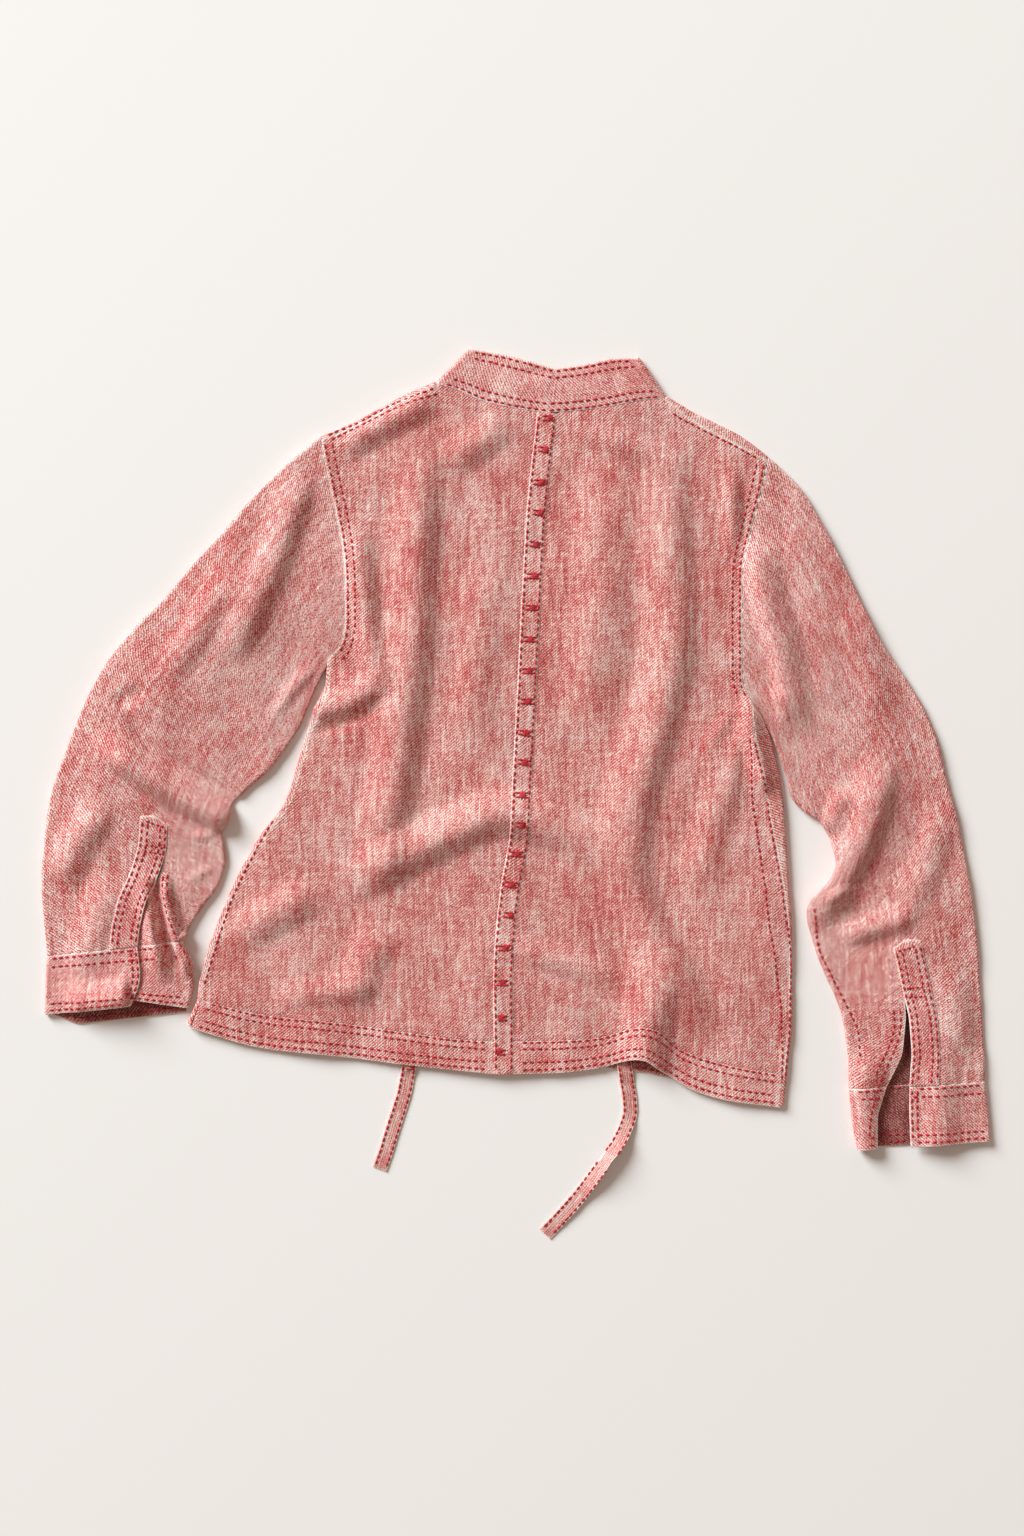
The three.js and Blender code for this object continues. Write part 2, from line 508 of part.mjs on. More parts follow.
// A front lies on the surface, then curls up at its shoulder and side and laps on to the back.
function frontPlan(side) {
  const half = halves[side];
  const { cut, mirror, lines } = half;
  const seamRows = spread(SIDE_ROWS).map((u) => lines.side.at(u));
  const seamColumns = spread(SHOULDER_COLUMNS).map((u) => lines.shoulder.at(u));
  const wayOff = (p) => outward(p.along, mirror);
  const sideWays = seamRows.map((p, k) => (k === 0 ? half.underarmWay : wayOff(p)));
  const shoulderWays = seamColumns.map((p, k) => {
    if (k === 0) return half.neckWay;
    return k === SHOULDER_COLUMNS ? half.tipWay : wayOff(p);
  });
  // Ends that stand next to the sleeve or the collar stop half a gap short of the corner.
  const pulled = (list, k, towards) => moved(list[k], between(list[k], list[towards]), SEAM_GAP);
  seamRows[0] = { ...seamRows[0], ...pulled(seamRows, 0, 1) };
  seamColumns[0] = { ...seamColumns[0], ...pulled(seamColumns, 0, 1) };
  const lastColumn = SHOULDER_COLUMNS;
  seamColumns[lastColumn] = {
    ...seamColumns[lastColumn], ...pulled(seamColumns, lastColumn, lastColumn - 1),
  };
  const sideFold = seamRows.map((p, k) => moved(p, sideWays[k], p.lap));
  const shoulderFold = seamColumns.map((p, k) => moved(p, shoulderWays[k], p.lap));
  const armhole = spread(FLOOR_COLUMNS).slice(1, -1).map((u) => lines.armhole.at(u));
  const outer = [shoulderFold[lastColumn], ...armhole, ...sideFold];
  const v = shares(outer);
  const rows = v.length - 1;
  const inner = v.map((share) => {
    const p = centreFront.at(share);
    return moved(p, outward(p.along, mirror), SEAM_GAP);
  });
  const frontNeck = lineThrough(replaceEnds(cut.frontNeck, inner[0], shoulderFold[0]));
  const neck = spread(FRONT_NECK_COLUMNS).slice(0, -1).map((u) => frontNeck.at(u));
  const top = [...neck, ...shoulderFold];
  const u = shares(top);
  const hemSeam = lineThrough(replaceEnds(cut.hemSeam, inner[rows], outer[rows]));
  const bottom = u.map((share) => hemSeam.at(share));
  const flat = patch(top, bottom, inner, outer, u, v);
  const [cornerX, cornerY] = cut.hemEdge.at(-1);
  const hemCorner = { x: cornerX, y: cornerY };
  const hemStart = { x: inner[rows].x, y: cut.hemEdge[0][1] };
  const hemEdge = lineThrough(replaceEnds(cut.hemEdge, hemStart, hemCorner));
  const sideEnd = lines.side.at(1);
  const drop = { x: hemCorner.x - sideEnd.x, y: hemCorner.y - sideEnd.y + FRONT_HEM_RISE };
  const columns = top.length - 1;
  const armholeRows = FLOOR_COLUMNS;
  const steps = CURL_STEPS + 1;

  // Round the folded edge from the lower layer (0) to the seam (last step).
  const roundEdge = (fold, way, seam, step, wall) => {
    if (step <= CURL_STEPS) return curled(fold, way, step / CURL_STEPS, wall);
    return upper(moved(seam, way, SEAM_GAP));
  };
  const floorPlan = (i, j) => {
    if (i <= rows) return flat(i, j);
    const start = flat(rows, j);
    const backEdgePoint = hemEdge.at(u[j]);
    const edge = j === columns ? moved(start, drop, 1)
      : { x: backEdgePoint.x, y: backEdgePoint.y + FRONT_HEM_RISE };
    return mix(start, edge, (i - rows) / BAND_ROWS);
  };
  const point = (i, j, wall) => {
    if (i < 0) {
      const k = j - FRONT_NECK_COLUMNS;
      if (k < 0 || k > SHOULDER_COLUMNS) return null;
      return roundEdge(shoulderFold[k], shoulderWays[k], seamColumns[k], -i, wall);
    }
    if (j <= columns) return lower(floorPlan(i, j), wall);
    if (i < armholeRows) return null;
    const k = Math.min(i - armholeRows, SIDE_ROWS);
    const slid = (p) => moved(p, drop, Math.max(0, i - rows) / BAND_ROWS);
    return roundEdge(slid(sideFold[k]), sideWays[k], slid(seamRows[k]), j - columns, wall);
  };
  return { point, rows, columns, steps, frontNeck, shoulderFold };
}

const backs = { left: backPlan('left'), right: backPlan('right') };
const fronts = { left: frontPlan('left'), right: frontPlan('right') };

// A band's first row stands a seam's gap below the panel it is sewn to.
const belowSeam = (p, isFirst) => (isFirst ? { x: p.x, y: p.y - SEAM_GAP } : p);

for (const side of ['left', 'right']) {
  const back = backs[side];
  const front = fronts[side];
  const { mirror } = CUT[side];
  const offCentre = { x: -mirror, y: 0 };

  sheet(`back_${side}`, [0, back.rows], [0, back.columns], CLOTH, COLOURS.upper, (i, j) => {
    const p = back.plan(i, j);
    return upper(j === 0 ? moved(p, offCentre, SEAM_GAP / 2) : p);
  });

  sheet(`hem_back_${side}`, [back.rows, back.rows + BAND_ROWS], [1, back.columns], TURNED,
    COLOURS.turned, (i, j) => {
      const p = belowSeam(back.plan(i, j), i === back.rows);
      return upper(j === 1 ? moved(p, offCentre, SEAM_GAP) : p);
    });

  sheet(`front_${side}`, [-front.steps, front.rows], [0, front.columns + front.steps], CLOTH,
    COLOURS.lower, (i, j) => front.point(i, j, CLOTH));

  sheet(`hem_front_${side}`, [front.rows, front.rows + BAND_ROWS],
    [0, front.columns + front.steps], TURNED, COLOURS.turned, (i, j) => {
      const point = front.point(i, j, TURNED);
      if (i === front.rows) point.middle.y -= SEAM_GAP;
      return point;
    });
}

// ---- felled strip down the centre back, lying on both halves and running to the hem's edge ----
sheet('back_seam_strip', [0, backs.left.rows + BAND_ROWS], [-1, 1], CLOTH, COLOURS.strip,
  (i, j) => {
    const p = j > 0 ? backs.right.plan(i, 1) : backs.left.plan(i, -j);
    return upper(p, CLOTH + SEAM_GAP);
  });

// ---- collar: one folded band, from centre front round the back to centre front ----
function collarColumns() {
  const columns = [];
  const frontPart = (side) => {
    const { lines } = halves[side];
    const front = fronts[side];
    return spread(FRONT_NECK_COLUMNS).map((u) => ({
      seam: front.frontNeck.at(u), top: lines.collarFrontTop.at(u),
    })).map(({ seam, top }) => (t) => lower(mix(moved(seam, between(seam, top), SEAM_GAP),
      top, t), TURNED));
  };
  const foldPart = (side) => {
    const half = halves[side];
    const front = fronts[side];
    const ends = { seam: front.shoulderFold[0], top: half.lines.collarFrontTop.at(1) };
    const start = moved(half.lines.neck.at(1), between(ends.seam, ends.top), SEAM_GAP);
    return spread(CURL_STEPS).slice(1, -1).map((turn) => (t) => {
      const way = t === 0 ? half.neckWay : half.collarWay;
      return curled(mix(start, ends.top, t), way, turn, TURNED);
    });
  };
  const backPart = (side) => {
    const { lines } = halves[side];
    const neckStart = STRIP_WIDTH / 2 / lines.neck.length;
    const steps = [0, ...spread(NECK_COLUMNS).map((u) => lerp(neckStart, 1, u))];
    return steps.map((u) => (t) => {
      const seam = lines.neck.at(u);
      const top = lines.collarTop.at(u);
      return upper(mix(moved(seam, between(seam, top), SEAM_GAP), top, t));
    });
  };
  columns.push(...frontPart('left'), ...foldPart('left'), ...backPart('left').reverse());
  columns.push(...backPart('right').slice(1), ...foldPart('right').reverse(),
    ...frontPart('right').reverse());
  return columns;
}
const collar = collarColumns();
sheet('collar', [0, COLLAR_ROWS], [0, collar.length - 1], TURNED, COLOURS.turned,
  (i, j) => collar[j](i / COLLAR_ROWS));

// ---- sleeves, cuffs and plackets ----
function sleevePoint(side) {
  const half = halves[side];
  const { sleeve, lines, mirror } = half;
  const { armhole } = lines;
  const last = sleeve.rings.length - 1;

  // Plan of one share of one ring; near the body it follows the armhole's curve.
  const plan = (ring, share) => {
    const here = ringEnds(sleeve, ring);
    const straight = mix(here.outer, here.inner, share);
    const pull = ARMHOLE_PULL[ring] ?? 0;
    if (pull === 0) return straight;
    const seam = armhole.at(share);
    const flatSeam = mix(half.first.outer, half.first.inner, share);
    const curved = {
      x: straight.x + pull * (seam.x - flatSeam.x), y: straight.y + pull * (seam.y - flatSeam.y),
    };
    if (ring > 0) return curved;
    const sewn = moved(curved, outward(seam.along, mirror), SEAM_GAP);
    if (share === 0) return moved(sewn, half.tipWay, lines.shoulder.at(1).lap);
    return share === 1 ? moved(sewn, half.underarmWay, lines.side.at(0).lap) : sewn;
  };
  // The edge of the cuff: its lower layer and its tucked end reach past the upper layer.
  const mouthShift = (ring, column, share) => {
    if (ring < sleeve.cuff || column < OUTER_END) return 0;
    const down = (ring - sleeve.cuff) / (last - sleeve.cuff);
    const { floor, tuckedOuter, tuckedInner } = sleeve.mouth;
    const layer = column <= INNER_START ? floor * smooth(share * 4)
      : lerp(tuckedOuter, tuckedInner, (share - 0.5) * 2);
    return layer * down ** 2;
  };
  const parting = (ring) => smooth((ring - sleeve.apex) / 1.5);

  return (ring, column, wall) => {
    const { across, width } = ringEnds(sleeve, ring);
    const shifted = (share) => {
      const p = plan(ring, share);
      return { x: p.x, y: p.y + mouthShift(ring, column, share) };
    };
    if (column <= OUTER_END) {
      const raise = SLIT_STEP * parting(ring) * Math.max(0, 1 - column / (PLACKET_END + 1));
      return upper(shifted(upperShare(sleeve, ring, column, width)), raise);
    }
    if (column < FLOOR_START) {
      const way = ring === 0 ? half.tipWay : { x: -across.x, y: -across.y };
      return curled(shifted(0), way, 1 - (column - OUTER_END) / CURL_STEPS, wall);
    }
    if (column <= FLOOR_END) {
      return lower(shifted((column - FLOOR_START) / FLOOR_COLUMNS), wall);
    }
    if (column < INNER_START) {
      const way = ring === 0 ? half.underarmWay : across;
      return curled(shifted(1), way, (column - FLOOR_END) / CURL_STEPS, wall);
    }
    const inside = (column - INNER_START) / INNER_COLUMNS;
    return upper(shifted(upperShare(sleeve, ring, column, width)),
      -SLIT_STEP * parting(ring) * inside ** 2);
  };
}

for (const side of ['left', 'right']) {
  const { sleeve } = halves[side];
  const at = sleevePoint(side);
  const lastRing = sleeve.rings.length - 1;

  tube(`sleeve_${side}`, [0, sleeve.cuff], SLEEVE_COLUMNS, sleeve.apex, CLOTH, COLOURS.sleeve,
    (i, j) => at(i, j, CLOTH));

  tube(`cuff_${side}`, [sleeve.cuff, lastRing], SLEEVE_COLUMNS, -1, TURNED, COLOURS.turned,
    (i, j) => {
      const point = at(i, j, TURNED);
      if (i > sleeve.cuff) return point;
      const next = at(i + 1, j, TURNED).middle;
      const way = next.sub(point.middle).setZ(0).normalize();
      point.middle.addScaledVector(way, SEAM_GAP);
      return point;
    });

  // The placket lies on the sleeve's own points, from its stitched head down to the cuff.
  const head = Math.ceil(sleeve.boxTop);
  sheet(`placket_${side}`, [head - 1, sleeve.cuff], [0, PLACKET_COLUMNS], CLOTH, COLOURS.turned,
    (i, j) => {
      const point = at(i, j, CLOTH);
      if (i < head) {
        const next = at(head, j, CLOTH).middle;
        point.middle.lerp(next, sleeve.boxTop - i);
      }
      point.middle.z += CLOTH + (i < head ? 2 : 1) * SEAM_GAP; // the head is folded under
      return point;
    });
}

// ---- ties: flat tapes sewn inside the fronts, coming out under the hem ----
function tie(name, rows) {
  const path = new THREE.CatmullRomCurve3(
    rows.map(([x, y]) => new THREE.Vector3(x, y, 0)), false, 'centripetal');
  const last = rows.length - 1;
  sheet(name, [0, last], [0, 1], CLOTH, COLOURS.strip, (i, j) => {
    const [x, y, z, tilt] = rows[i];
    const along = path.getTangent(i / last);
    const angle = THREE.MathUtils.degToRad(tilt);
    const across = new THREE.Vector3(-along.y, along.x, 0).multiplyScalar(Math.cos(angle));
    across.z = Math.sin(angle);
    const out = new THREE.Vector3(along.x, along.y, 0).cross(across);
    const middle = new THREE.Vector3(x, y, z).addScaledVector(across, (j - 0.5) * TIE_WIDTH);
    return { middle, out };
  });
}
tie('tie_left', TIES.left);
tie('tie_right', TIES.right);

jacket.position.set(-ORIGIN.x, -ORIGIN.y, 0);
jacket.updateMatrixWorld(true);

export default jacket;
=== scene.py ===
import math
import random

import bmesh
import bpy
import numpy as np
from mathutils import Matrix, Vector, noise
from mathutils.bvhtree import BVHTree


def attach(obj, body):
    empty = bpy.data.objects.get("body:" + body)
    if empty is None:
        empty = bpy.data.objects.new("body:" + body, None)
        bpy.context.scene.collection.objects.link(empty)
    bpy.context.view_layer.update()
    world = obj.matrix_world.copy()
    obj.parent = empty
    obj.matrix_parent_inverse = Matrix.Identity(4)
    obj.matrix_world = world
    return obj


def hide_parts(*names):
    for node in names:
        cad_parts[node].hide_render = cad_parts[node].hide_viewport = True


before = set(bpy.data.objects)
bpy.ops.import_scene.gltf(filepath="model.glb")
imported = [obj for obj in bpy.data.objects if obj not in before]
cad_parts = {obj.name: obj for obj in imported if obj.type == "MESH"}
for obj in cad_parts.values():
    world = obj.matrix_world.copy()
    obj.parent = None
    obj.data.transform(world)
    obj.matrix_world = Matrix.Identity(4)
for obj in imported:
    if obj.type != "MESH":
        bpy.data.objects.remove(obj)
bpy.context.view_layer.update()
print("frame loaded")

# Tables are in millimetres, +X the wearer's right, +Y the collar, z up from the surface.
place = {"x": 0.44, "y": -0.12}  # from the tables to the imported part

cloth = {
    "wall": 1.2, "turned": 1.8,  # the solids' walls, single and turned double
    "thin": 0.9, "double": 1.5,  # the shells' own thickness
    "gap": 0.05,  # between pieces that are sewn together
    "loft": 4.8, "leastLoft": 2.9, "lowest": 1.95,  # middle of the upper layer
    "body": 1.12,  # how strongly the folds stand
    "strip": 18.0, "placket": 26.0, "collar": 42.0,  # widths
    "slitStep": 1.6, "slitFade": 39,  # how far a slit's two sides part in height
    "point": 3.0, "ringStep": 3.2,  # spacing of the shells' points
    "farOff": 99.0,  # stands for a point with no edge near it
}
# where each small piece is cut from the roll, so that no two show the same streaks
roll = {"strip": 500, "cuff": 700, "collar": 900, "placket": 1300, "tie": 1500}

# the cut
cut = {
    "left": {
        "mirror": 1,
        "neck": [(28, 350), (-6, 355), (-34, 362), (-54, 371), (-72, 376)],
        "shoulder": [(-72, 376, 0.8), (-106, 360, 1), (-143, 340, 1), (-179, 325, 0.8)],
        "armhole": [(-179, 325), (-172, 289), (-164, 252), (-158, 215), (-157, 178),
                    (-158, 149), (-163, 134), (-172, 125)],
        "side": [(-172, 125, 0.8), (-173, 96, 1), (-190, 54, 1), (-199, 22, 1), (-210, -11, 1),
                 (-236, -46, 1), (-256, -83, 1), (-275, -130, 1), (-288, -176, 1), (-289, -189, 1)],
        "hemSeam": [(-21, -227), (-52, -225), (-107, -218), (-172, -209), (-236, -202),
                    (-289, -189)],
        "hemEdge": [(-21, -257), (-52, -254), (-107, -248), (-172, -240), (-236, -233),
                    (-299, -215)],
        "frontNeck": [(23, 285), (-6, 291), (-38, 309), (-61, 339), (-72, 376)],
        "collarTop": [(35, 390), (12, 397), (-15, 404), (-41, 408)],
        "collarFrontTop": [(22, 328), (3, 335), (-17, 355), (-32, 381), (-41, 408)],
    },
    "right": {
        "mirror": -1,
        "neck": [(28, 350), (58, 352), (88, 356), (114, 361), (136, 363)],
        "shoulder": [(136, 363, 0.8), (161, 343, 5), (202, 321, 5.5), (230, 306, 0.8)],
        "armhole": [(230, 306), (221, 266), (214, 238), (208, 211), (207, 160), (207, 123),
                    (208, 101), (215, 86)],
        "side": [(215, 86, 0.8), (218, 54, 11), (224, 27, 12), (230, -6, 11.5), (236, -38, 8.5),
                 (244, -79, 3), (249, -116, 1), (250, -162, 1), (250, -208, 1), (245, -258, 1)],
        "hemSeam": [(-3, -227), (40, -226), (79, -223), (114, -213), (130, -217), (150, -234),
                    (187, -247), (245, -258)],
        "hemEdge": [(-3, -257), (40, -256), (79, -251), (114, -243), (134, -255), (160, -271),
                    (187, -280), (242, -288)],
        "frontNeck": [(23, 285), (58, 290), (95, 305), (123, 333), (136, 363)],
        "collarTop": [(35, 390), (63, 394), (88, 399), (110, 400)],
        "collarFrontTop": [(24, 328), (54, 335), (81, 353), (100, 376), (110, 400)],
    },
}
centreLines = {
    "back": [(28, 350), (19, 270), (14, 188), (9, 86), (5, 13), (2, -42), (-6, -88),
             (-12, -153), (-12, -227)],
    "front": [(23, 285), (14, 188), (9, 86), (2, -42), (-12, -227)],
    "hem": (-12, -257),
}
frontHem = {"rise": 2.5, "dipX": 112, "dipReach": 25, "dipDepth": 15}  # it dips below the wave

# outer x, outer y, inner x, inner y of each ring, from the armhole to the cuff's edge; apex,
# cuff and headTop are the rings of the slit's point, the cuff's seam and the placket's head
sleeves = {
    "left": {
        "rings": [
            (-182, 328, -174, 123), (-208, 307, -183, 103), (-238, 278, -193, 79),
            (-268, 243, -199, 63), (-296, 212, -207, 49), (-323, 180, -218, 33),
            (-348, 155, -230, 19), (-372, 126, -245, 6), (-388, 98, -256, -5),
            (-402, 66, -264, -16), (-414, 37, -271, -31), (-426, 4, -268, -50),
            (-432, -29, -267, -64), (-435, -61, -274, -85), (-436, -91, -286, -101),
            (-434, -122, -300, -121), (-432, -149, -310, -135), (-433, -176, -297, -167),
            (-434, -203, -301, -188)],
        "length": 520, "apex": 12, "cuff": 16, "headTop": 10.85,
        "slit": [(0.676, 0.676), (0.663, 0.67), (0.656, 0.59), (0.676, 0.58), (0.707, 0.6),
                 (0.656, 0.56), (0.614, 0.52)],
        "mouth": {"floor": -12, "tuckedOuter": 9, "tuckedInner": -8},
    },
    "right": {
        "rings": [
            (234, 308, 221, 90), (252, 293, 226, 83), (268, 273, 231, 70), (282, 247, 237, 54),
            (296, 220, 242, 36), (310, 191, 248, 16), (322, 163, 253, -4), (336, 137, 266, -17),
            (356, 109, 281, -27), (373, 81, 291, -47), (386, 50, 296, -62), (394, 17, 288, -80),
            (403, -17, 272, -98), (411, -52, 268, -116), (418, -93, 275, -144),
            (423, -130, 284, -167), (427, -180, 295, -192), (428, -201, 300, -208),
            (430, -236, 304, -236), (430, -250, 306, -252), (430, -264, 307, -270),
            (433, -291, 310, -295), (435, -319, 316, -326)],
        "length": 640, "apex": 16, "cuff": 20, "headTop": 14.7,
        "slit": [(0.549, 0.549), (0.54, 0.558), (0.547, 0.61), (0.563, 0.667), (0.575, 0.746),
                 (0.6, 0.842), (0.628, 0.895)],
        "mouth": {"floor": 1, "tuckedOuter": 0, "tuckedInner": 0},
    },
}
armholePull = [1, 0.8, 0.55, 0.3, 0.12, 0]

# folds: height, half-width left and right of the line, run-in, run-out, crest line
folds = {
    "main": [
        (8.8, 25, 34, 0.25, 0.2, [(-85, 346), (-89, 270), (-92, 197), (-96, 132), (-102, 77),
                                  (-109, 22), (-120, -33), (-133, -88)]),
        (6, 16, 20, 0.3, 0.15, [(-146, 261), (-142, 206), (-137, 160), (-128, 114), (-121, 86)]),
        (5.5, 13, 22, 0.35, 0.1, [(-115, 105), (-151, 85), (-188, 73)]),
        (8, 26, 38, 0.2, 0.12, [(141, 335), (139, 270), (142, 215), (145, 160), (137, 96),
                                (119, 31), (106, -24), (103, -65), (114, -107), (134, -145),
                                (160, -190), (180, -228)]),
        (4.2, 24, 26, 0.35, 0.35, [(196, 61), (188, 4), (174, -52), (161, -102)]),
        (9, 30, 24, 0.2, 0.45, [(-172, -95), (-115, -63), (-63, -37), (-15, -20), (17, -26),
                                (54, -44), (86, -72), (115, -105)]),
        (6, 24, 24, 0.4, 0.3, [(-271, -140), (-229, -113), (-176, -86)]),
        (5.5, 28, 24, 0.4, 0.4, [(-159, -208), (-140, -160), (-115, -112)]),
        (6.5, 14, 20, 0.35, 0.3, [(-175, 309), (-123, 340), (-66, 368)]),
        (5, 22, 22, 0.4, 0.35, [(-74, 296), (-2, 346)]),
        (11, 30, 28, 0.6, 0.02, [(125, -125), (121, -190), (114, -274)]),
        (4, 12, 14, 0.3, 0.4, [(197, 305), (198, 252), (197, 206)]),
        (5.5, 40, 36, 0.3, 0.3, [(82, 326), (80, 215), (73, 132), (57, 40)]),
        (3.5, 30, 26, 0.3, 0.3, [(-30, 234), (-37, 132), (-45, 31)]),
        (3.6, 66, 62, 0.2, 0.02, [(-172, 252), (-273, 160), (-365, 50), (-369, -61),
                                  (-369, -226)]),
        (6.8, 17, 30, 0.22, 0.28, [(-192, 305), (-204, 261), (-220, 215), (-243, 162),
                                   (-267, 112)]),
        (4.5, 22, 24, 0.35, 0.35, [(-300, 250), (-335, 199), (-367, 149)]),
        (4.5, 20, 22, 0.35, 0.35, [(-256, 215), (-291, 151), (-328, 96)]),
        (11, 21, 17, 0.34, 0.06, [(-398, 52), (-372, 39), (-337, 15), (-300, -7), (-264, -26)]),
        (6, 22, 26, 0.35, 0.3, [(-372, -2), (-398, -40), (-422, -90)]),
        (4.5, 22, 24, 0.35, 0.35, [(-367, -68), (-385, -116), (-402, -176)]),
        (7.6, 8, 11, 0.25, 0.2, [(-325, -66), (-322, -86), (-319, -105), (-314, -121),
                                 (-309, -136), (-303, -153), (-299, -171)]),
        (8, 6, 13, 0.45, 0.3, [(-343, -79), (-337, -102), (-334, -118), (-331, -134), (-326, -153),
                               (-320, -176)]),
        (8.5, 22, 20, 0.3, 0.1, [(-418, -190), (-383, -190), (-352, -184)]),
        (3.6, 60, 56, 0.2, 0.02, [(224, 234), (288, 105), (334, -6), (348, -116), (367, -245),
                                  (376, -346)]),
        (9, 28, 15, 0.18, 0.25, [(215, 243), (225, 182), (242, 123), (252, 45)]),
        (8, 13, 14, 0.3, 0.25, [(210, 96), (218, 45), (233, -6)]),
        (5, 26, 28, 0.35, 0.35, [(299, 178), (329, 105), (349, 50)]),
        (10.5, 20, 30, 0.25, 0.25, [(338, 40), (322, -29), (290, -90), (264, -127)]),
        (5, 14, 14, 0.3, 0.3, [(299, 7), (287, -40)]),
        (4.5, 22, 22, 0.4, 0.4, [(397, 8), (375, -68), (346, -116)]),
        (6, 18, 15, 0.35, 0.3, [(288, -134), (331, -121), (373, -107)]),
        (4.5, 22, 24, 0.35, 0.35, [(395, -148), (404, -199), (406, -254)]),
        (6.5, 24, 16, 0.35, 0.02, [(322, -226), (318, -272), (318, -328)]),
        (3.5, 22, 18, 0.35, 0.02, [(386, -226), (388, -272), (386, -328)]),
        (1.7, 8, 11, 0.2, 0.6, [(206, 85), (182, 52), (160, 2)]),
        (1.7, 7, 9, 0.2, 0.6, [(209, 72), (200, 29), (194, -24)]),
        (2.8, 9, 11, 0.2, 0.6, [(230, 98), (261, 72), (290, 35)]),
        (2.6, 8, 10, 0.2, 0.6, [(-166, 116), (-144, 94), (-109, 48)]),
        (2.8, 8, 11, 0.2, 0.6, [(-183, 120), (-208, 92), (-234, 48)]),
        (1.6, 7, 8, 0.3, 0.6, [(-271, -37), (-291, -39), (-311, -46)]),
        (1.4, 7, 8, 0.3, 0.6, [(-275, -68), (-291, -74), (-304, -83)]),
        (2.6, 9, 8, 0.3, 0.6, [(277, -99), (299, -90), (327, -88)]),
        (3.4, 19, 17, 0.4, 0.4, [(-34, -134), (40, -153), (114, -176)]),
        (3, 18, 16, 0.4, 0.4, [(-245, -199), (-172, -180), (-89, -176)]),
        (3.2, 20, 16, 0.4, 0.4, [(40, 335), (114, 315), (169, 278)]),
    ],
    "creases": [
        (-9, 7.5, 7.5, 0.12, 0.2, [(-332, -77), (-328, -96), (-324, -114), (-321, -132),
                                   (-315, -150), (-310, -167)]),
        (-2.6, 12, 12, 0.35, 0.35, [(-376, 81), (-356, 88), (-337, 98)]),
        (-4.4, 10, 10, 0.3, 0.08, [(-368, 96), (-357, 72), (-341, 52), (-319, 34), (-293, 17),
                                   (-269, 1), (-254, -13)]),
        (-1.6, 7, 7, 0.3, 0.1, [(-118, 82), (-153, 66), (-188, 55)]),
        (-1.6, 7, 7, 0.4, 0.4, [(3, 388), (22, 385), (26, 375)]),
    ],
}


def unit(v):
    return v / np.linalg.norm(v, axis=-1, keepdims=True)


def mix(a, b, t):
    return a * (1 - t) + b * t


def smooth(t):
    t = np.clip(t, 0, 1)
    return t * t * (3 - 2 * t)


def runAlong(points):  # length so far at each point
    steps = np.linalg.norm(np.diff(points, axis=0), axis=1)
    return np.concatenate([[0], np.cumsum(steps)])


def shares(points):
    run = runAlong(points)
    return run / run[-1]


def extended(rows):  # one more row past each end
    return np.vstack([2 * rows[0] - rows[1], rows, 2 * rows[-1] - rows[-2]])


def paired(first, second):  # two grids of numbers as one grid of pairs
    return np.stack(np.broadcast_arrays(first, second), -1)


class Line:  # a smooth line through rows of x, y and, if given, a third number
    def __init__(self, rows):
        knots = extended(np.array([tuple(row) + (0,) * (3 - len(row)) for row in rows], float))
        t = np.linspace(0, 1, 33)[:-1, None]
        spans = []
        for a, b, c, d in zip(knots, knots[1:], knots[2:], knots[3:]):
            ab, bc, cd = (max(1e-6, float(np.sum((q - p) ** 2)) ** 0.25)
                          for p, q in ((a, b), (b, c), (c, d)))
            start = ((b - a) / ab - (c - a) / (ab + bc) + (c - b) / bc) * bc
            end = ((c - b) / bc - (d - b) / (bc + cd) + (d - c) / cd) * bc
            spans.append(b + start * t + (3 * (c - b) - 2 * start - end) * t ** 2
                         + (2 * (b - c) + start + end) * t ** 3)
        self.points = np.vstack(spans + [knots[-2:-1]])
        self.run = runAlong(self.points)
        self.length = self.run[-1]

    def at(self, u):  # x, y and the third number at shares u of the length
        run = np.asarray(u, float) * self.length
        return np.stack([np.interp(run, self.run, self.points[:, k]) for k in range(3)], -1)

    def along(self, u):
        u = np.asarray(u, float)
        return unit(self.at(np.minimum(1, u + 2e-3))[..., :2]
                    - self.at(np.maximum(0, u - 2e-3))[..., :2])


def outward(along, mirror):  # off the cloth, for a line that runs down the garment
    return np.stack([mirror * along[..., 1], -mirror * along[..., 0]], -1)


def leftOf(path):
    along = unit(np.gradient(path, axis=0))
    return np.stack([-along[:, 1], along[:, 0]], -1)


def mitre(a, b):
    return (a + b) / (1 + np.dot(a, b))


def stepsFor(length, spacing=None):
    return max(2, round(length / (spacing or cloth["point"])))


def nearest(plan, line):  # distance to a polyline, run along it, side of it, its whole run
    flat = plan.reshape(-1, 2)
    best = np.full(len(flat), np.inf)
    run = np.zeros(len(flat))
    side = np.zeros(len(flat))
    start = 0.0
    for a, b in zip(line, line[1:]):
        d = b - a
        size = float(np.hypot(*d))
        if size < 1e-6:
            continue
        t = np.clip(((flat - a) @ d) / size ** 2, 0, 1)
        off = flat - a - t[:, None] * d
        distance = np.hypot(off[:, 0], off[:, 1])
        closer = distance < best
        best[closer] = distance[closer]
        run[closer] = start + t[closer] * size
        side[closer] = (d[0] * (flat[closer, 1] - a[1]) - d[1] * (flat[closer, 0] - a[0]))
        start += size
    shape = plan.shape[:-1]
    return best.reshape(shape), run.reshape(shape), side.reshape(shape), start


def wander(x, y, size, seed):
    flat = zip(np.ravel(x) / size, np.ravel(y) / size)
    values = [noise.noise(Vector((a, b, seed))) for a, b in flat]
    return np.array(values).reshape(np.shape(x))


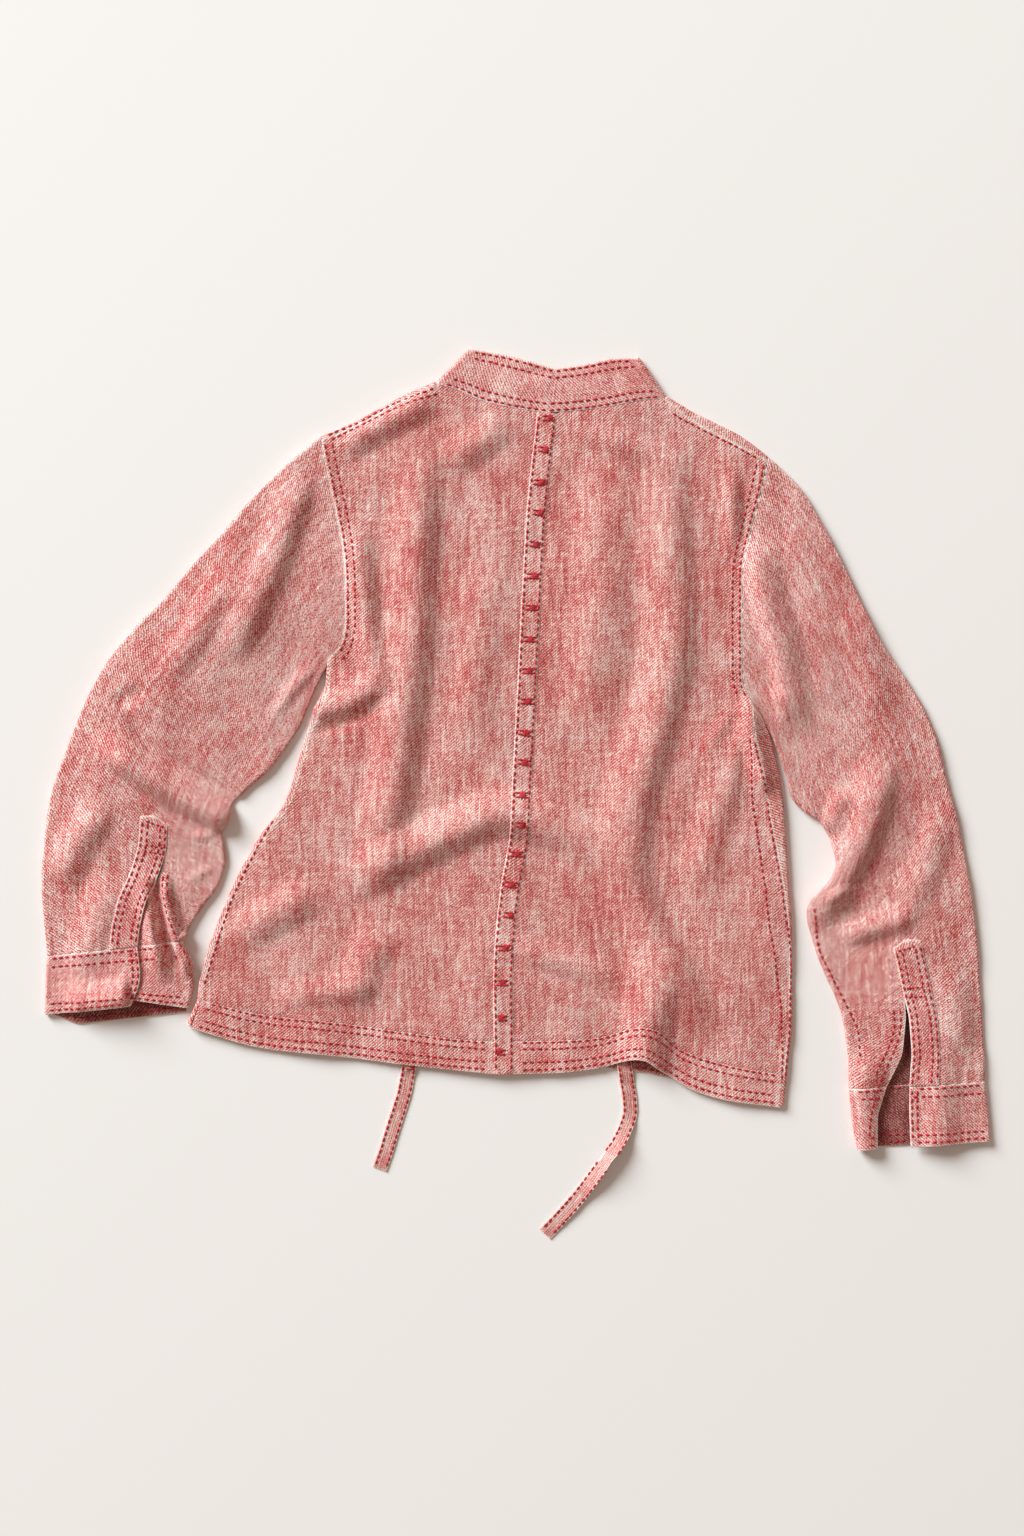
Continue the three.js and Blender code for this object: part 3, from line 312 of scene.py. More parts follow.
# height of the upper layer
def prepared(fold):
    height, left, right, runIn, runOut, rows = fold
    line = Line(rows).at(np.linspace(0, 1, 6 * (len(rows) - 1) + 1))[:, :2]
    reach = max(left, right)
    return height, left, right, runIn, runOut, line, line.min(0) - reach, line.max(0) + reach


mainFolds = [prepared(fold) for fold in folds["main"]]
creases = [prepared(fold) for fold in folds["creases"]]


def relief(plan, group):
    total = np.zeros(plan.shape[:-1])
    for height, left, right, runIn, runOut, line, low, high in group:
        near = np.all((plan > low) & (plan < high), axis=-1)
        if not near.any():
            continue
        distance, run, side, length = nearest(plan[near], line)
        along = run / length
        reach = distance / np.where(side > 0, left, right)
        ends = smooth(along / runIn) * smooth((1 - along) / runOut)
        total[near] += height * ends * np.where(reach < 1, (1 - reach ** 2) ** 2, 0)
    return total


# height, stretch across the cloth, size and seed of the small unevenness
ripples = [(2.6, 0.55, 58, 8.2), (1.3, 0.7, 27, 1.3), (0.45, 1, 12, 5.1)]


def heightOver(plan):
    z = cloth["loft"] + cloth["body"] * relief(plan, mainFolds)
    z = cloth["leastLoft"] + np.log1p(np.exp(z - cloth["leastLoft"]))
    x, y = plan[..., 0], plan[..., 1]
    ripple = sum(height * wander(x, y * stretch, size, seed)
                 for height, stretch, size, seed in ripples)
    room = smooth((z - 3.0) / 2.5)  # flat places stay clear of what they lie on
    z = z + ripple * (0.35 + 0.65 * room) + 0.4
    return np.maximum(z + relief(plan, creases), cloth["lowest"])


def top(plan, lift=0.0):
    return np.concatenate([plan, (heightOver(plan) + lift)[..., None]], -1)


def floorLevel(plan, wall):
    return np.concatenate([plan, np.full(plan.shape[:-1] + (1,), wall / 2)], -1)


def foldRadius(plan, wall):
    return (heightOver(plan) - wall / 2) / 2


def curled(plan, way, turn, wall):  # turn 0 is the lower layer, 1 the upper one
    radius = foldRadius(plan, wall)
    angle = (turn - 0.5) * math.pi
    x = plan[..., 0] + way[..., 0] * np.cos(angle) * radius
    y = plan[..., 1] + way[..., 1] * np.cos(angle) * radius
    return np.stack([x, y, wall / 2 + radius + np.sin(angle) * radius], -1)


def puckers(plan, lines, height=0.3, reach=10.0, pitch=8.5):
    total = np.zeros(plan.shape[:-1])
    for k, line in enumerate(lines):
        distance, run, _, _ = nearest(plan, line)
        phase = 2 * math.pi * run / pitch + 3 * np.sin(run / 31 + k) + 2 * np.sin(run / 13 + 2 * k)
        total += height * np.sin(phase) * np.where(distance < reach,
                                                   (1 - (distance / reach) ** 2) ** 2, 0)
    return total


# materials
def colour(r, g, b):
    def linear(c):
        c /= 255
        return c / 12.92 if c <= 0.04045 else ((c + 0.055) / 1.055) ** 2.4
    return linear(r), linear(g), linear(b), 1


def startMaterial(name, surface):  # the material, a way to add nodes and a way to finish it
    mat = bpy.data.materials.new(name)
    mat.use_nodes = True
    tree = mat.node_tree
    shader = tree.nodes["Principled BSDF"]

    def fill(node, inputs):  # a socket is linked, anything else is set
        for key, value in inputs.items():
            if isinstance(value, bpy.types.NodeSocket):
                tree.links.new(value, node.inputs[key])
            else:
                node.inputs[key].default_value = value
        return node

    def add(kind, inputs=(), **settings):
        node = tree.nodes.new("ShaderNode" + kind)
        for key, value in settings.items():
            setattr(node, key, value)
        return fill(node, dict(inputs))

    def finish(shade, stops, height, strength, distance):
        ramp = add("ValToRGB", {"Fac": shade})
        first, last = ramp.color_ramp.elements
        first.position, first.color = stops[0][0], colour(*stops[0][1])
        last.position, last.color = stops[-1][0], colour(*stops[-1][1])
        for position, middle in stops[1:-1]:
            ramp.color_ramp.elements.new(position).color = colour(*middle)
        bump = add("Bump", {"Strength": strength, "Distance": distance, "Height": height})
        fill(shader, {"Base Color": ramp.outputs[0], "Normal": bump.outputs[0]})
        return mat

    fill(shader, surface)
    return mat, add, finish


weave = {
    "grain": 0.0012, "rib": 0.0021,  # metres across one float, and one diagonal of the twill
    "jitter": 0.75,  # how unevenly the floats stand
    "roughness": 0.78, "gloss": 0.35, "sheen": 0.22,
    "glow": 0.16,  # light through the threads
    "level": 0.64,  # the plain cloth, from 0 for the deep colour to 1 for the pale one
    "thread": 0.36, "down": 1.0, "over": 0.5, "cloud": 0.5, "strays": 0.3, "slubs": 0.4,
    "rimWearAndHighlight": 0.38, "haloWearAndHighlight": 0.06,  # how much paler it is at a turned or sewn edge: partly wear, partly a painted highlight where the raised edge catches the light
    "bump": 0.0003,
}


def clothMaterial(name, deep, mid, pale, reach=1.6, turn=50, streak=1.0, depth=1.0,
                  crepe=0.0008, contrast=0.48, ribbed=0.52, wave=0.9, pebbled=0.26):
    _, add, finish = startMaterial(name, {
        "Roughness": weave["roughness"], "Specular IOR Level": weave["gloss"],
        "Sheen Weight": weave["sheen"], "Sheen Roughness": 0.5,
        "Sheen Tint": colour(250, 225, 215),
        "Subsurface Weight": weave["glow"], "Subsurface Radius": (1.0, 0.3, 0.2),
        "Subsurface Scale": 0.005})
    uv = add("UVMap", uv_map="weave").outputs[0]

    def mapped(scaleX, scaleY, angle=0.0):
        turned = add("Mapping", {"Rotation": (0, 0, math.radians(angle)), "Vector": uv})
        return add("Mapping", {"Scale": (scaleX, scaleY, 1),
                               "Vector": turned.outputs[0]}).outputs[0]

    def noiseOn(vector, detail, rough):
        return add("TexNoise", {"Scale": 1, "Detail": detail, "Roughness": rough,
                                "Vector": vector}, noise_dimensions="2D").outputs[0]

    def ranged(value, low, high, start=0.0, end=1.0):
        return add("MapRange", {0: value, 1: low, 2: high, 3: start, 4: end},
                   interpolation_type="SMOOTHSTEP").outputs[0]

    def heaped(total, layers):  # patterns times their amounts, added up
        for pattern, amount in layers:
            total = add("Math", {0: pattern, 1: amount, 2: total},
                        operation="MULTIPLY_ADD").outputs[0]
        return total

    def balanced(level, layers):  # a pattern at its middle leaves the level as it is
        return heaped(level - sum(amount for _, amount in layers) / 2, layers)

    stray = add("TexNoise", {"Scale": 130, "Vector": uv})
    bent = add("VectorMath", {0: stray.outputs["Color"], 1: (crepe, crepe, 0),
                              2: mapped(1, 1 / reach, turn)}, operation="MULTIPLY_ADD")
    cells = add("TexVoronoi", {"Scale": 1 / weave["grain"], "Randomness": weave["jitter"],
                               "Vector": bent.outputs[0]}, voronoi_dimensions="2D")
    floats = ranged(cells.outputs["Distance"], 0.1, 0.56, 1.0, 0.0)  # pale float, deep gap
    ribs = add("TexWave", {"Scale": 0.314159 / weave["rib"], "Distortion": wave, "Detail": 2,
                           "Detail Scale": 0.8, "Vector": mapped(1, 1, turn)},
               bands_direction="X").outputs["Fac"]
    thread = noiseOn(mapped(900, 1500), 1, 0.6)
    pebbles = noiseOn(mapped(290, 105, turn), 1, 0.5)
    slubs = ranged(noiseOn(mapped(560, 130, turn), 2, 0.6), 0.6, 0.76)
    strays = ranged(noiseOn(mapped(900, 28), 2, 0.55), 0.6, 0.7)  # pale threads, lengthwise
    down = noiseOn(mapped(210, 30), 4, 0.72)
    over = noiseOn(mapped(40, 240), 4, 0.72)
    cloud = noiseOn(mapped(17, 13), 3, 0.55)
    border = add("Attribute", attribute_name="border").outputs["Fac"]  # millimetres to an edge
    # paler cloth along edges: partly wear, partly a painted highlight of the raised turned edge
    rimWearAndHighlight = ranged(border, 0.0, 1.9, weave["rimWearAndHighlight"], 0.0)
    haloWearAndHighlight = ranged(border, 1.0, 14.0, weave["haloWearAndHighlight"], 0.0)

    plain = balanced(weave["level"], [
        (floats, contrast), (ribs, ribbed), (thread, weave["thread"]), (pebbles, pebbled),
        (down, weave["down"] * streak), (over, weave["over"] * streak),
        (cloud, weave["cloud"]), (strays, weave["strays"] * streak)])
    shade = heaped(plain, [(slubs, weave["slubs"]), (rimWearAndHighlight, 1), (haloWearAndHighlight, 1)])
    height = balanced(0.5, [(floats, 0.9), (ribs, 0.6), (thread, 0.4), (pebbles, 2 * pebbled),
                            (down, 0.5)])
    return finish(shade, [(0.08, deep), (0.5, mid), (0.92, pale)], height, 0.7,
                  weave["bump"] * depth)


def threadMaterial():
    _, add, finish = startMaterial("dark red thread", {"Roughness": 0.7, "Sheen Weight": 0.2})
    spot = add("TexCoord").outputs["Object"]
    spots, twist = (add("TexNoise", {"Scale": scale, "Vector": spot}).outputs[0]
                    for scale in (260, 1600))
    return finish(spots, [(0.35, (160, 10, 28)), (0.68, (206, 28, 46))], twist, 0.6, 0.0002)


materials = {
    "body": clothMaterial("rose twill, body", (174, 36, 40), (221, 141, 134), (246, 228, 220)),
    "under": clothMaterial("rose twill, inside", (140, 38, 41), (186, 106, 100), (226, 190, 181)),
    # darker than the cloth: painted shade for the inside of a sleeve, seen through the slit and the
    # cuff's mouth
    "deep": clothMaterial("rose twill, painted shade inside a sleeve", (112, 30, 33), (150, 76, 70),
                          (200, 150, 141)),
    "sleeve": clothMaterial("rose twill, sleeves", (180, 42, 46), (225, 149, 142), (250, 234, 227),
                            reach=1.7, turn=58, streak=0.8, depth=1.3, crepe=0.0016,
                            contrast=0.5, ribbed=0.42, wave=3.0, pebbled=0.42),
    "band": clothMaterial("rose twill, turned", (180, 46, 50), (225, 150, 144), (249, 232, 225),
                          turn=-45, streak=0.8, ribbed=0.42, pebbled=0.3),
    "tape": clothMaterial("rose tape", (176, 60, 62), (216, 146, 139), (244, 218, 209),
                          turn=0, reach=1.0, streak=0.7, ribbed=0.3),
    "thread": threadMaterial(),
}
print("materials ready")


# shells
shells = {}


def toMetres(points):
    return (points + np.array([place["x"], place["y"], 0])) / 1000


def addPiece(name, bm, *finishes):
    for face in bm.faces:
        face.smooth = True
    mesh = bpy.data.meshes.new(name)
    bm.to_mesh(mesh)
    bm.free()
    for finish in finishes:
        mesh.materials.append(finish)
    piece = bpy.data.objects.new(name, mesh)
    bpy.context.scene.collection.objects.link(piece)
    return piece


# a grid of points bent into place, with a wall; it stands for one node
def makeShell(node, points, uv, wall, material, border, missing=None, slitAfter=None,
              rounding=0.3, inside=None, kind="cloth"):
    rows, columns = points.shape[:2]
    spots = toMetres(points)
    bm = bmesh.new()
    uvLayer = bm.loops.layers.uv.new("weave")
    borderLayer = bm.verts.layers.float.new("border")
    bmesh.ops.create_grid(bm, x_segments=columns - 1, y_segments=rows - 1, size=1)
    cell = {}
    for v in bm.verts:
        i = round((v.co.y + 1) / 2 * (rows - 1))
        j = round((v.co.x + 1) / 2 * (columns - 1))
        cell[v] = (i, j)
        v.co = spots[i, j]
        v[borderLayer] = float(border[i, j])
    for face in bm.faces:
        for loop in face.loops:
            loop[uvLayer].uv = uv[cell[loop.vert]] / 1000
    if slitAfter is not None:
        between = [f for f in bm.faces
                   if {cell[v][1] for v in f.verts} == {slitAfter, slitAfter + 1}]
        bmesh.ops.delete(bm, geom=between, context="FACES")
    if missing is not None:
        gone = [v for v in bm.verts if missing[cell[v]]]
        bmesh.ops.delete(bm, geom=gone, context="VERTS")
    bmesh.ops.remove_doubles(bm, verts=bm.verts, dist=2e-6)
    highest = max(bm.faces, key=lambda f: f.calc_center_median().z)
    highest.normal_update()
    if highest.normal.z < 0:
        bmesh.ops.reverse_faces(bm, faces=bm.faces)
    piece = addPiece(f"{node}_{kind}", bm, material, *([inside] if inside else []))
    solid = piece.modifiers.new("wall", "SOLIDIFY")
    solid.thickness = wall / 1000
    solid.offset = 0
    solid.material_offset = 1 if inside else 0
    edge = piece.modifiers.new("edge", "BEVEL")
    edge.width = rounding / 1000
    edge.segments = 2
    edge.limit_method = "ANGLE"
    edge.angle_limit = math.radians(55)
    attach(piece, "root")
    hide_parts(node)
    shells[piece.name] = piece


def patch(topEdge, bottomEdge, inner, outer, u, v):
    u, v = u[None, :, None], v[:, None, None]
    sides = inner[:, None] * (1 - u) + outer[:, None] * u
    ends = topEdge[None] * (1 - v) + bottomEdge[None] * v
    corners = ((topEdge[0] * (1 - u) + topEdge[-1] * u) * (1 - v)
               + (bottomEdge[0] * (1 - u) + bottomEdge[-1] * u) * v)
    return sides + ends - corners


# layout shared by the pieces
# from the outline in to where a plain fold starts to turn
cornerInset = (cloth["leastLoft"] + math.log1p(math.exp(cloth["loft"] - cloth["leastLoft"]))
               - cloth["wall"] / 2) / 2 + cloth["wall"] / 2


def smoothRows(table, at):
    rows = extended(np.array(table, float))
    at = np.clip(at, 0, len(table) - 1)
    i = np.minimum(np.floor(at).astype(int), len(table) - 2)
    t = (at - i)[:, None]
    a, b, c, d = rows[i], rows[i + 1], rows[i + 2], rows[i + 3]
    return 0.5 * (2 * b + (c - a) * t + (2 * a - 5 * b + 4 * c - d) * t ** 2
                  + (3 * b - a - 3 * c + d) * t ** 3)


def ringEnds(sleeve, ring):
    ring = np.atleast_1d(np.asarray(ring, float))
    seam = sleeve["cuff"]
    upperPart = smoothRows(sleeve["rings"][:seam + 1], ring)
    cuffPart = smoothRows(sleeve["rings"][seam:], ring - seam)
    ends = np.where(ring[:, None] <= seam, upperPart, cuffPart)
    outer, inner = ends[:, :2], ends[:, 2:]
    across = unit(inner - outer)
    width = np.linalg.norm(inner - outer, axis=1) - 2 * cornerInset
    return outer + across * cornerInset, inner - across * cornerInset, across, width


halves = {}
for side in ("left", "right"):
    shape, sleeve = cut[side], sleeves[side]
    mirror = shape["mirror"]
    lines = {key: Line(rows) for key, rows in shape.items() if key != "mirror"}
    outer0, inner0, across0, _ = ringEnds(sleeve, 0)
    tipWay = mitre(outward(lines["shoulder"].along(1), mirror), -across0[0])
    underarmWay = mitre(outward(lines["side"].along(0), mirror), across0[0])
    fold = unit(lines["collarTop"].at(1)[:2] - lines["neck"].at(1)[:2])
    collarWay = np.array([-mirror * fold[1], mirror * fold[0]])
    neckWay = mitre(outward(lines["shoulder"].along(0), mirror), collarWay)
    halves[side] = dict(shape=shape, sleeve=sleeve, mirror=mirror, lines=lines,
                        outer0=outer0[0], inner0=inner0[0], tipWay=tipWay,
                        underarmWay=underarmWay, collarWay=collarWay, neckWay=neckWay)

centreBack = Line(centreLines["back"])
centreFront = Line(centreLines["front"])


def withEnds(rows, start, end):
    return [tuple(start)] + [tuple(row) for row in rows[1:-1]] + [tuple(end)]


# back panels
armRows = stepsFor(halves["left"]["lines"]["armhole"].length)
sideRows = stepsFor(halves["right"]["lines"]["side"].length)
bandRows = 10
backEdge = {}
for side, half in halves.items():
    arm = half["lines"]["armhole"].at(np.linspace(0, 1, armRows + 1))[:, :2]
    down = half["lines"]["side"].at(np.linspace(0, 1, sideRows + 1))[1:, :2]
    backEdge[side] = np.vstack([arm, down])
backShares = {side: shares(edge) for side, edge in backEdge.items()}
centreShares = (backShares["left"] + backShares["right"]) / 2
centreLine = centreBack.at(centreShares)[:, :2]
centreWay = outward(centreBack.along(centreShares), 1)


def backPlan(side):
    half = halves[side]
    lines, mirror = half["lines"], half["mirror"]
    stripEdge = centreLine + mirror * centreWay * cloth["strip"] / 2
    start = cloth["strip"] / 2 / lines["neck"].length
    neck = lines["neck"].at(np.linspace(start, 1, 34))[1:, :2]
    shoulder = lines["shoulder"].at(np.linspace(0, 1, 38))[1:, :2]
    topEdge = np.vstack([stripEdge[:1], neck, shoulder])
    u, v = shares(topEdge), backShares[side]
    hemSeam = Line(withEnds(half["shape"]["hemSeam"], stripEdge[-1], backEdge[side][-1]))
    inside = patch(topEdge, hemSeam.at(u)[:, :2], stripEdge, backEdge[side], u, v)
    under = centreLine[:, None] + (stripEdge - centreLine)[:, None] * np.array(
        [0, 1 / 3, 2 / 3])[None, :, None]
    plan = np.concatenate([under, inside], 1)
    edge = lines["hemEdge"].at(u)[:, :2]
    centre = np.array(centreLines["hem"], float)
    edge = np.vstack([centre + (edge[0] - centre) * k / 3 for k in range(3)] + [edge])
    down = np.linspace(0, 1, bandRows + 1)[:, None, None]
    band = mix(plan[-1][None], edge[None], down)
    return plan, band


backs = {side: backPlan(side) for side in halves}
for side, (plan, band) in backs.items():
    lines = halves[side]["lines"]
    armhole, sideSeam = lines["armhole"].points[:, :2], lines["side"].points[:, :2]
    shoulder, neck = lines["shoulder"].points[:, :2], lines["neck"].points[:, :2]
    hemSeam, hemEdge = band[0], band[-1]
    toArm = nearest(plan, armhole)[0]
    toSide = nearest(plan, sideSeam)[0]
    border = np.minimum.reduce([toArm, toSide, nearest(plan, shoulder)[0]])
    lap = 0.5 * smooth(1 - toArm / 11)  # the back's armhole edge is sewn over the sleeve
    lift = lap + puckers(plan, [armhole, sideSeam, shoulder, hemSeam])
    makeShell(f"back_{side}", top(plan, lift), plan, cloth["thin"], materials["body"], border)
    toSeam, toEdge = nearest(band, hemSeam)[0], nearest(band, hemEdge)[0]
    lift = puckers(band, [hemSeam, hemEdge], 0.35) + 0.25 * smooth(toSeam / 6) - 0.3
    makeShell(f"hem_back_{side}", top(band, lift), band, cloth["double"], materials["body"],
              np.minimum(toEdge, toSeam + 0.6), rounding=0.55)
print("back made")


# fronts: flat on the surface, curled up at the shoulder and side, lapped on to the back
frontSteps = {"armhole": 36, "neck": 24, "shoulder": 30}  # of the grid, along each edge


def frontPlan(side):
    half = halves[side]
    lines, mirror = half["lines"], half["mirror"]
    u = np.linspace(0, 1, sideRows + 1)
    seam, way = lines["side"].at(u), outward(lines["side"].along(u), mirror)
    near = np.clip(1 - u * 17, 0, 1)[:, None]
    way = mix(way, half["underarmWay"], near)
    sideSeam, sideWay = seam[:, :2], way
    sideFold = sideSeam + way * seam[:, 2:]
    w = np.linspace(0, 1, frontSteps["shoulder"] + 1)
    seam, way = lines["shoulder"].at(w), outward(lines["shoulder"].along(w), mirror)
    first, last = np.clip(1 - w * 7, 0, 1)[:, None], np.clip(w * 7 - 6, 0, 1)[:, None]
    way = way * (1 - first - last) + half["neckWay"] * first + half["tipWay"] * last
    shoulderSeam, shoulderWay = seam[:, :2], way
    shoulderFold = shoulderSeam + way * seam[:, 2:]
    arm = lines["armhole"].at(np.linspace(0, 1, frontSteps["armhole"] + 1))[1:-1, :2]
    outer = np.vstack([shoulderFold[-1:], arm, sideFold])
    v = shares(outer)
    inner = centreFront.at(v)[:, :2] + outward(centreFront.along(v), mirror) * 0.3
    frontNeck = Line(withEnds(half["shape"]["frontNeck"], inner[0], shoulderFold[0]))
    neck = frontNeck.at(np.linspace(0, 1, frontSteps["neck"] + 1))[:-1, :2]
    topEdge = np.vstack([neck, shoulderFold])
    u = shares(topEdge)
    hemSeam = Line(withEnds(half["shape"]["hemSeam"], inner[-1], outer[-1]))
    flat = patch(topEdge, hemSeam.at(u)[:, :2], inner, outer, u, v)
    hemRows = half["shape"]["hemEdge"]
    start = (inner[-1][0], hemRows[0][1])
    edge = Line(withEnds(hemRows, start, hemRows[-1])).at(u)[:, :2]
    drop = np.array(hemRows[-1], float) - lines["side"].at(1)[:2] + (0, frontHem["rise"])
    edge = edge + (0, frontHem["rise"])
    toDip = (edge[:, 0] - frontHem["dipX"]) / frontHem["dipReach"]
    edge[:, 1] -= frontHem["dipDepth"] * np.exp(-toDip ** 2)
    edge[-1] = flat[-1, -1] + drop
    return dict(flat=flat, edge=edge, drop=drop, sideFold=sideFold,
                sideSeam=sideSeam, sideWay=sideWay, shoulderFold=shoulderFold,
                shoulderSeam=shoulderSeam, shoulderWay=shoulderWay, frontNeck=frontNeck)


def roundFold(fold, way, seam, wall):  # points and unrolled plan from the lower layer to the seam
    turns = np.linspace(0, 1, 8)[1:]
    steps, flat = [], []
    radius = foldRadius(fold, wall)
    for turn in turns:
        steps.append(curled(fold, way, turn, wall))
        flat.append(fold + way * (radius * math.pi * turn)[:, None])
    end = seam + way * cloth["gap"]
    for t in (0.34, 0.67, 1.0):
        steps.append(top(mix(fold, end, t)))
        back = np.linalg.norm(fold - end, axis=1)[:, None] * t
        flat.append(flat[len(turns) - 1] + way * back)
    return np.stack(steps, 1), np.stack(flat, 1)


fronts = {side: frontPlan(side) for side in halves}
for side, front in fronts.items():
    flat, arm, neck = front["flat"], frontSteps["armhole"], frontSteps["neck"]
    wall = cloth["wall"]
    sidePoints, sideFlat = roundFold(front["sideFold"], front["sideWay"], front["sideSeam"], wall)
    topPoints, topFlat = roundFold(front["shoulderFold"], front["shoulderWay"],
                                   front["shoulderSeam"], wall)
    extra, wide = sidePoints.shape[1], flat.shape[1]
    points = np.zeros((flat.shape[0] + extra, wide + extra, 3))
    uv = np.zeros(points.shape[:2] + (2,))
    missing = np.ones(points.shape[:2], bool)
    for where, spots, unrolled in (
            (np.s_[extra:, :wide], floorLevel(flat, wall), flat),
            (np.s_[extra + arm:, wide:], sidePoints, sideFlat),
            (np.s_[:extra, neck:wide], topPoints.transpose(1, 0, 2)[::-1],
             topFlat.transpose(1, 0, 2)[::-1])):
        points[where], uv[where], missing[where] = spots, unrolled, False
    seams = [front["sideSeam"], front["shoulderSeam"]]
    border = np.minimum.reduce([nearest(points[..., :2], seam)[0] for seam in seams])
    makeShell(f"front_{side}", points, uv, cloth["thin"], materials["body"], border, missing,
              inside=materials["under"])

    down = np.linspace(0, 1, bandRows + 1)[:, None, None]
    band = mix(flat[-1][None], front["edge"][None], down)
    slid = down[:, 0] * front["drop"]
    fold, seam = front["sideFold"][-1] + slid, front["sideSeam"][-1] + slid
    way = np.repeat(front["sideWay"][-1:], bandRows + 1, 0)
    edgePoints, edgeFlat = roundFold(fold, way, seam, cloth["turned"])
    points = np.concatenate([floorLevel(band, cloth["turned"]), edgePoints], 1)
    uv = np.concatenate([band, edgeFlat], 1)
    border = nearest(points[..., :2], points[-1, :, :2])[0]
    makeShell(f"hem_front_{side}", points, uv, cloth["double"], materials["body"], border,
              rounding=0.55, inside=materials["under"])
print("fronts made")


# felled strip over the centre-back seam
def stripPlan():
    leftEdge, rightEdge = (np.vstack([plan[:, 3], band[1:, 3]])[:, None]
                           for plan, band in backs.values())
    return mix(leftEdge, rightEdge, np.linspace(0, 1, 9)[None, :, None])


felled = {"length": 607, "lift": 0.82, "edgeDrop": 0.66, "edgeReach": 2.6}
strip = stripPlan()
toEdge = np.minimum(nearest(strip, strip[:, 0])[0], nearest(strip, strip[:, -1])[0])
lift = (felled["lift"] + puckers(strip, [strip[:, 0], strip[:, -1]], 0.25, 7)
        - felled["edgeDrop"] * smooth(1 - toEdge / felled["edgeReach"]))
run = shares(strip[:, 4]) * felled["length"]
makeShell("back_seam_strip", top(strip, lift), paired(strip[..., 0] + roll["strip"], -run[:, None]),
          cloth["thin"], materials["body"], toEdge)


# collar
def collarShell():
    wall = cloth["turned"]
    rows = np.linspace(0, 1, 15)

    def spread(seam, edge):  # from the neck seam to the folded edge
        return mix(seam[None], edge[None], rows[:, None])

    def frontPart(side):
        half, front = halves[side], fronts[side]
        for u in np.linspace(0, 1, 22):
            seam = front["frontNeck"].at(u)[:2]
            edge = half["lines"]["collarFrontTop"].at(u)[:2]
            yield floorLevel(spread(seam + unit(edge - seam) * cloth["gap"], edge), wall)

    def foldPart(side):
        half = halves[side]
        edge = half["lines"]["collarFrontTop"].at(1)[:2]
        start = half["lines"]["neck"].at(1)[:2]
        for turn in np.linspace(0, 1, 9)[1:-1]:
            away = 1 - (1 - rows[:, None]) ** 4
            way = mix(half["neckWay"][None], half["collarWay"][None], away)
            yield curled(spread(start, edge), way, turn, wall)

    def backPart(side):
        lines = halves[side]["lines"]
        for u in np.linspace(0, 1, 36):
            seam, edge = lines["neck"].at(u)[:2], lines["collarTop"].at(u)[:2]
            plan = spread(seam + unit(edge - seam) * cloth["gap"], edge)
            bulge = 0.5 * np.sin(rows * math.pi)
            yield top(plan, bulge + puckers(plan, [lines["neck"].points[:, :2]], 0.3, 9))

    columns = list(frontPart("left")) + list(foldPart("left")) + list(backPart("left"))[::-1]
    columns += list(backPart("right"))[1:] + list(foldPart("right"))[::-1]
    columns += list(frontPart("right"))[::-1]
    points = np.stack(columns, 1)
    run = runAlong(points[7])
    uv = paired(run[None] + roll["collar"], cloth["collar"] * rows[:, None])
    border = np.repeat((np.minimum(rows, 1 - rows) * cloth["collar"])[:, None], len(run), 1)
    makeShell("collar", points, uv, cloth["double"], materials["band"], border, rounding=0.6)


collarShell()
print("strip and collar made")


# sleeves, cuffs and plackets
def sleevePlace(side, ring, share):  # plan of a share of a ring, both arrays of one shape
    half = halves[side]
    shape = np.shape(ring)
    ring, share = np.ravel(ring).astype(float), np.ravel(share).astype(float)
    outer, inner, _, _ = ringEnds(half["sleeve"], ring)
    straight = outer + (inner - outer) * share[:, None]
    pull = np.interp(ring, range(6), armholePull)[:, None]
    arm = half["lines"]["armhole"]
    curve = arm.at(share)[:, :2] - (half["outer0"] + (half["inner0"] - half["outer0"])
                                    * share[:, None])
    first = np.clip(1 - ring, 0, 1)[:, None]
    sewn = outward(arm.along(share), half["mirror"]) * cloth["gap"]
    tip = half["tipWay"] * half["lines"]["shoulder"].at(1)[2]
    pit = half["underarmWay"] * half["lines"]["side"].at(0)[2]
    corner = (np.clip(1 - share * 8, 0, 1)[:, None] * tip
              + np.clip(share * 8 - 7, 0, 1)[:, None] * pit)
    plan = straight + pull * curve + first * (sewn + corner)
    return plan.reshape(shape + (2,))


def mouthShift(sleeve, ring, share, layer):
    if layer == "placket":
        return 0 * share
    down = np.clip((ring - sleeve["cuff"]) / (len(sleeve["rings"]) - 1 - sleeve["cuff"]), 0, 1)
    mouth = sleeve["mouth"]
    if layer == "floor":
        return mouth["floor"] * smooth(share * 4) * down ** 2
    t = (share - 0.5) * 2
    return (mouth["tuckedOuter"] * (1 - t) + mouth["tuckedInner"] * t) * down ** 2


def slitShares(sleeve, ring):
    row = np.maximum(0, ring - sleeve["apex"])
    table = np.array(sleeve["slit"])
    count = range(len(table))
    return np.interp(row, count, table[:, 0]), np.interp(row, count, table[:, 1])


def parting(sleeve, ring):
    return smooth((ring - sleeve["apex"]) / 1.5)


outerColumns = 46  # points from the slit to the outer fold


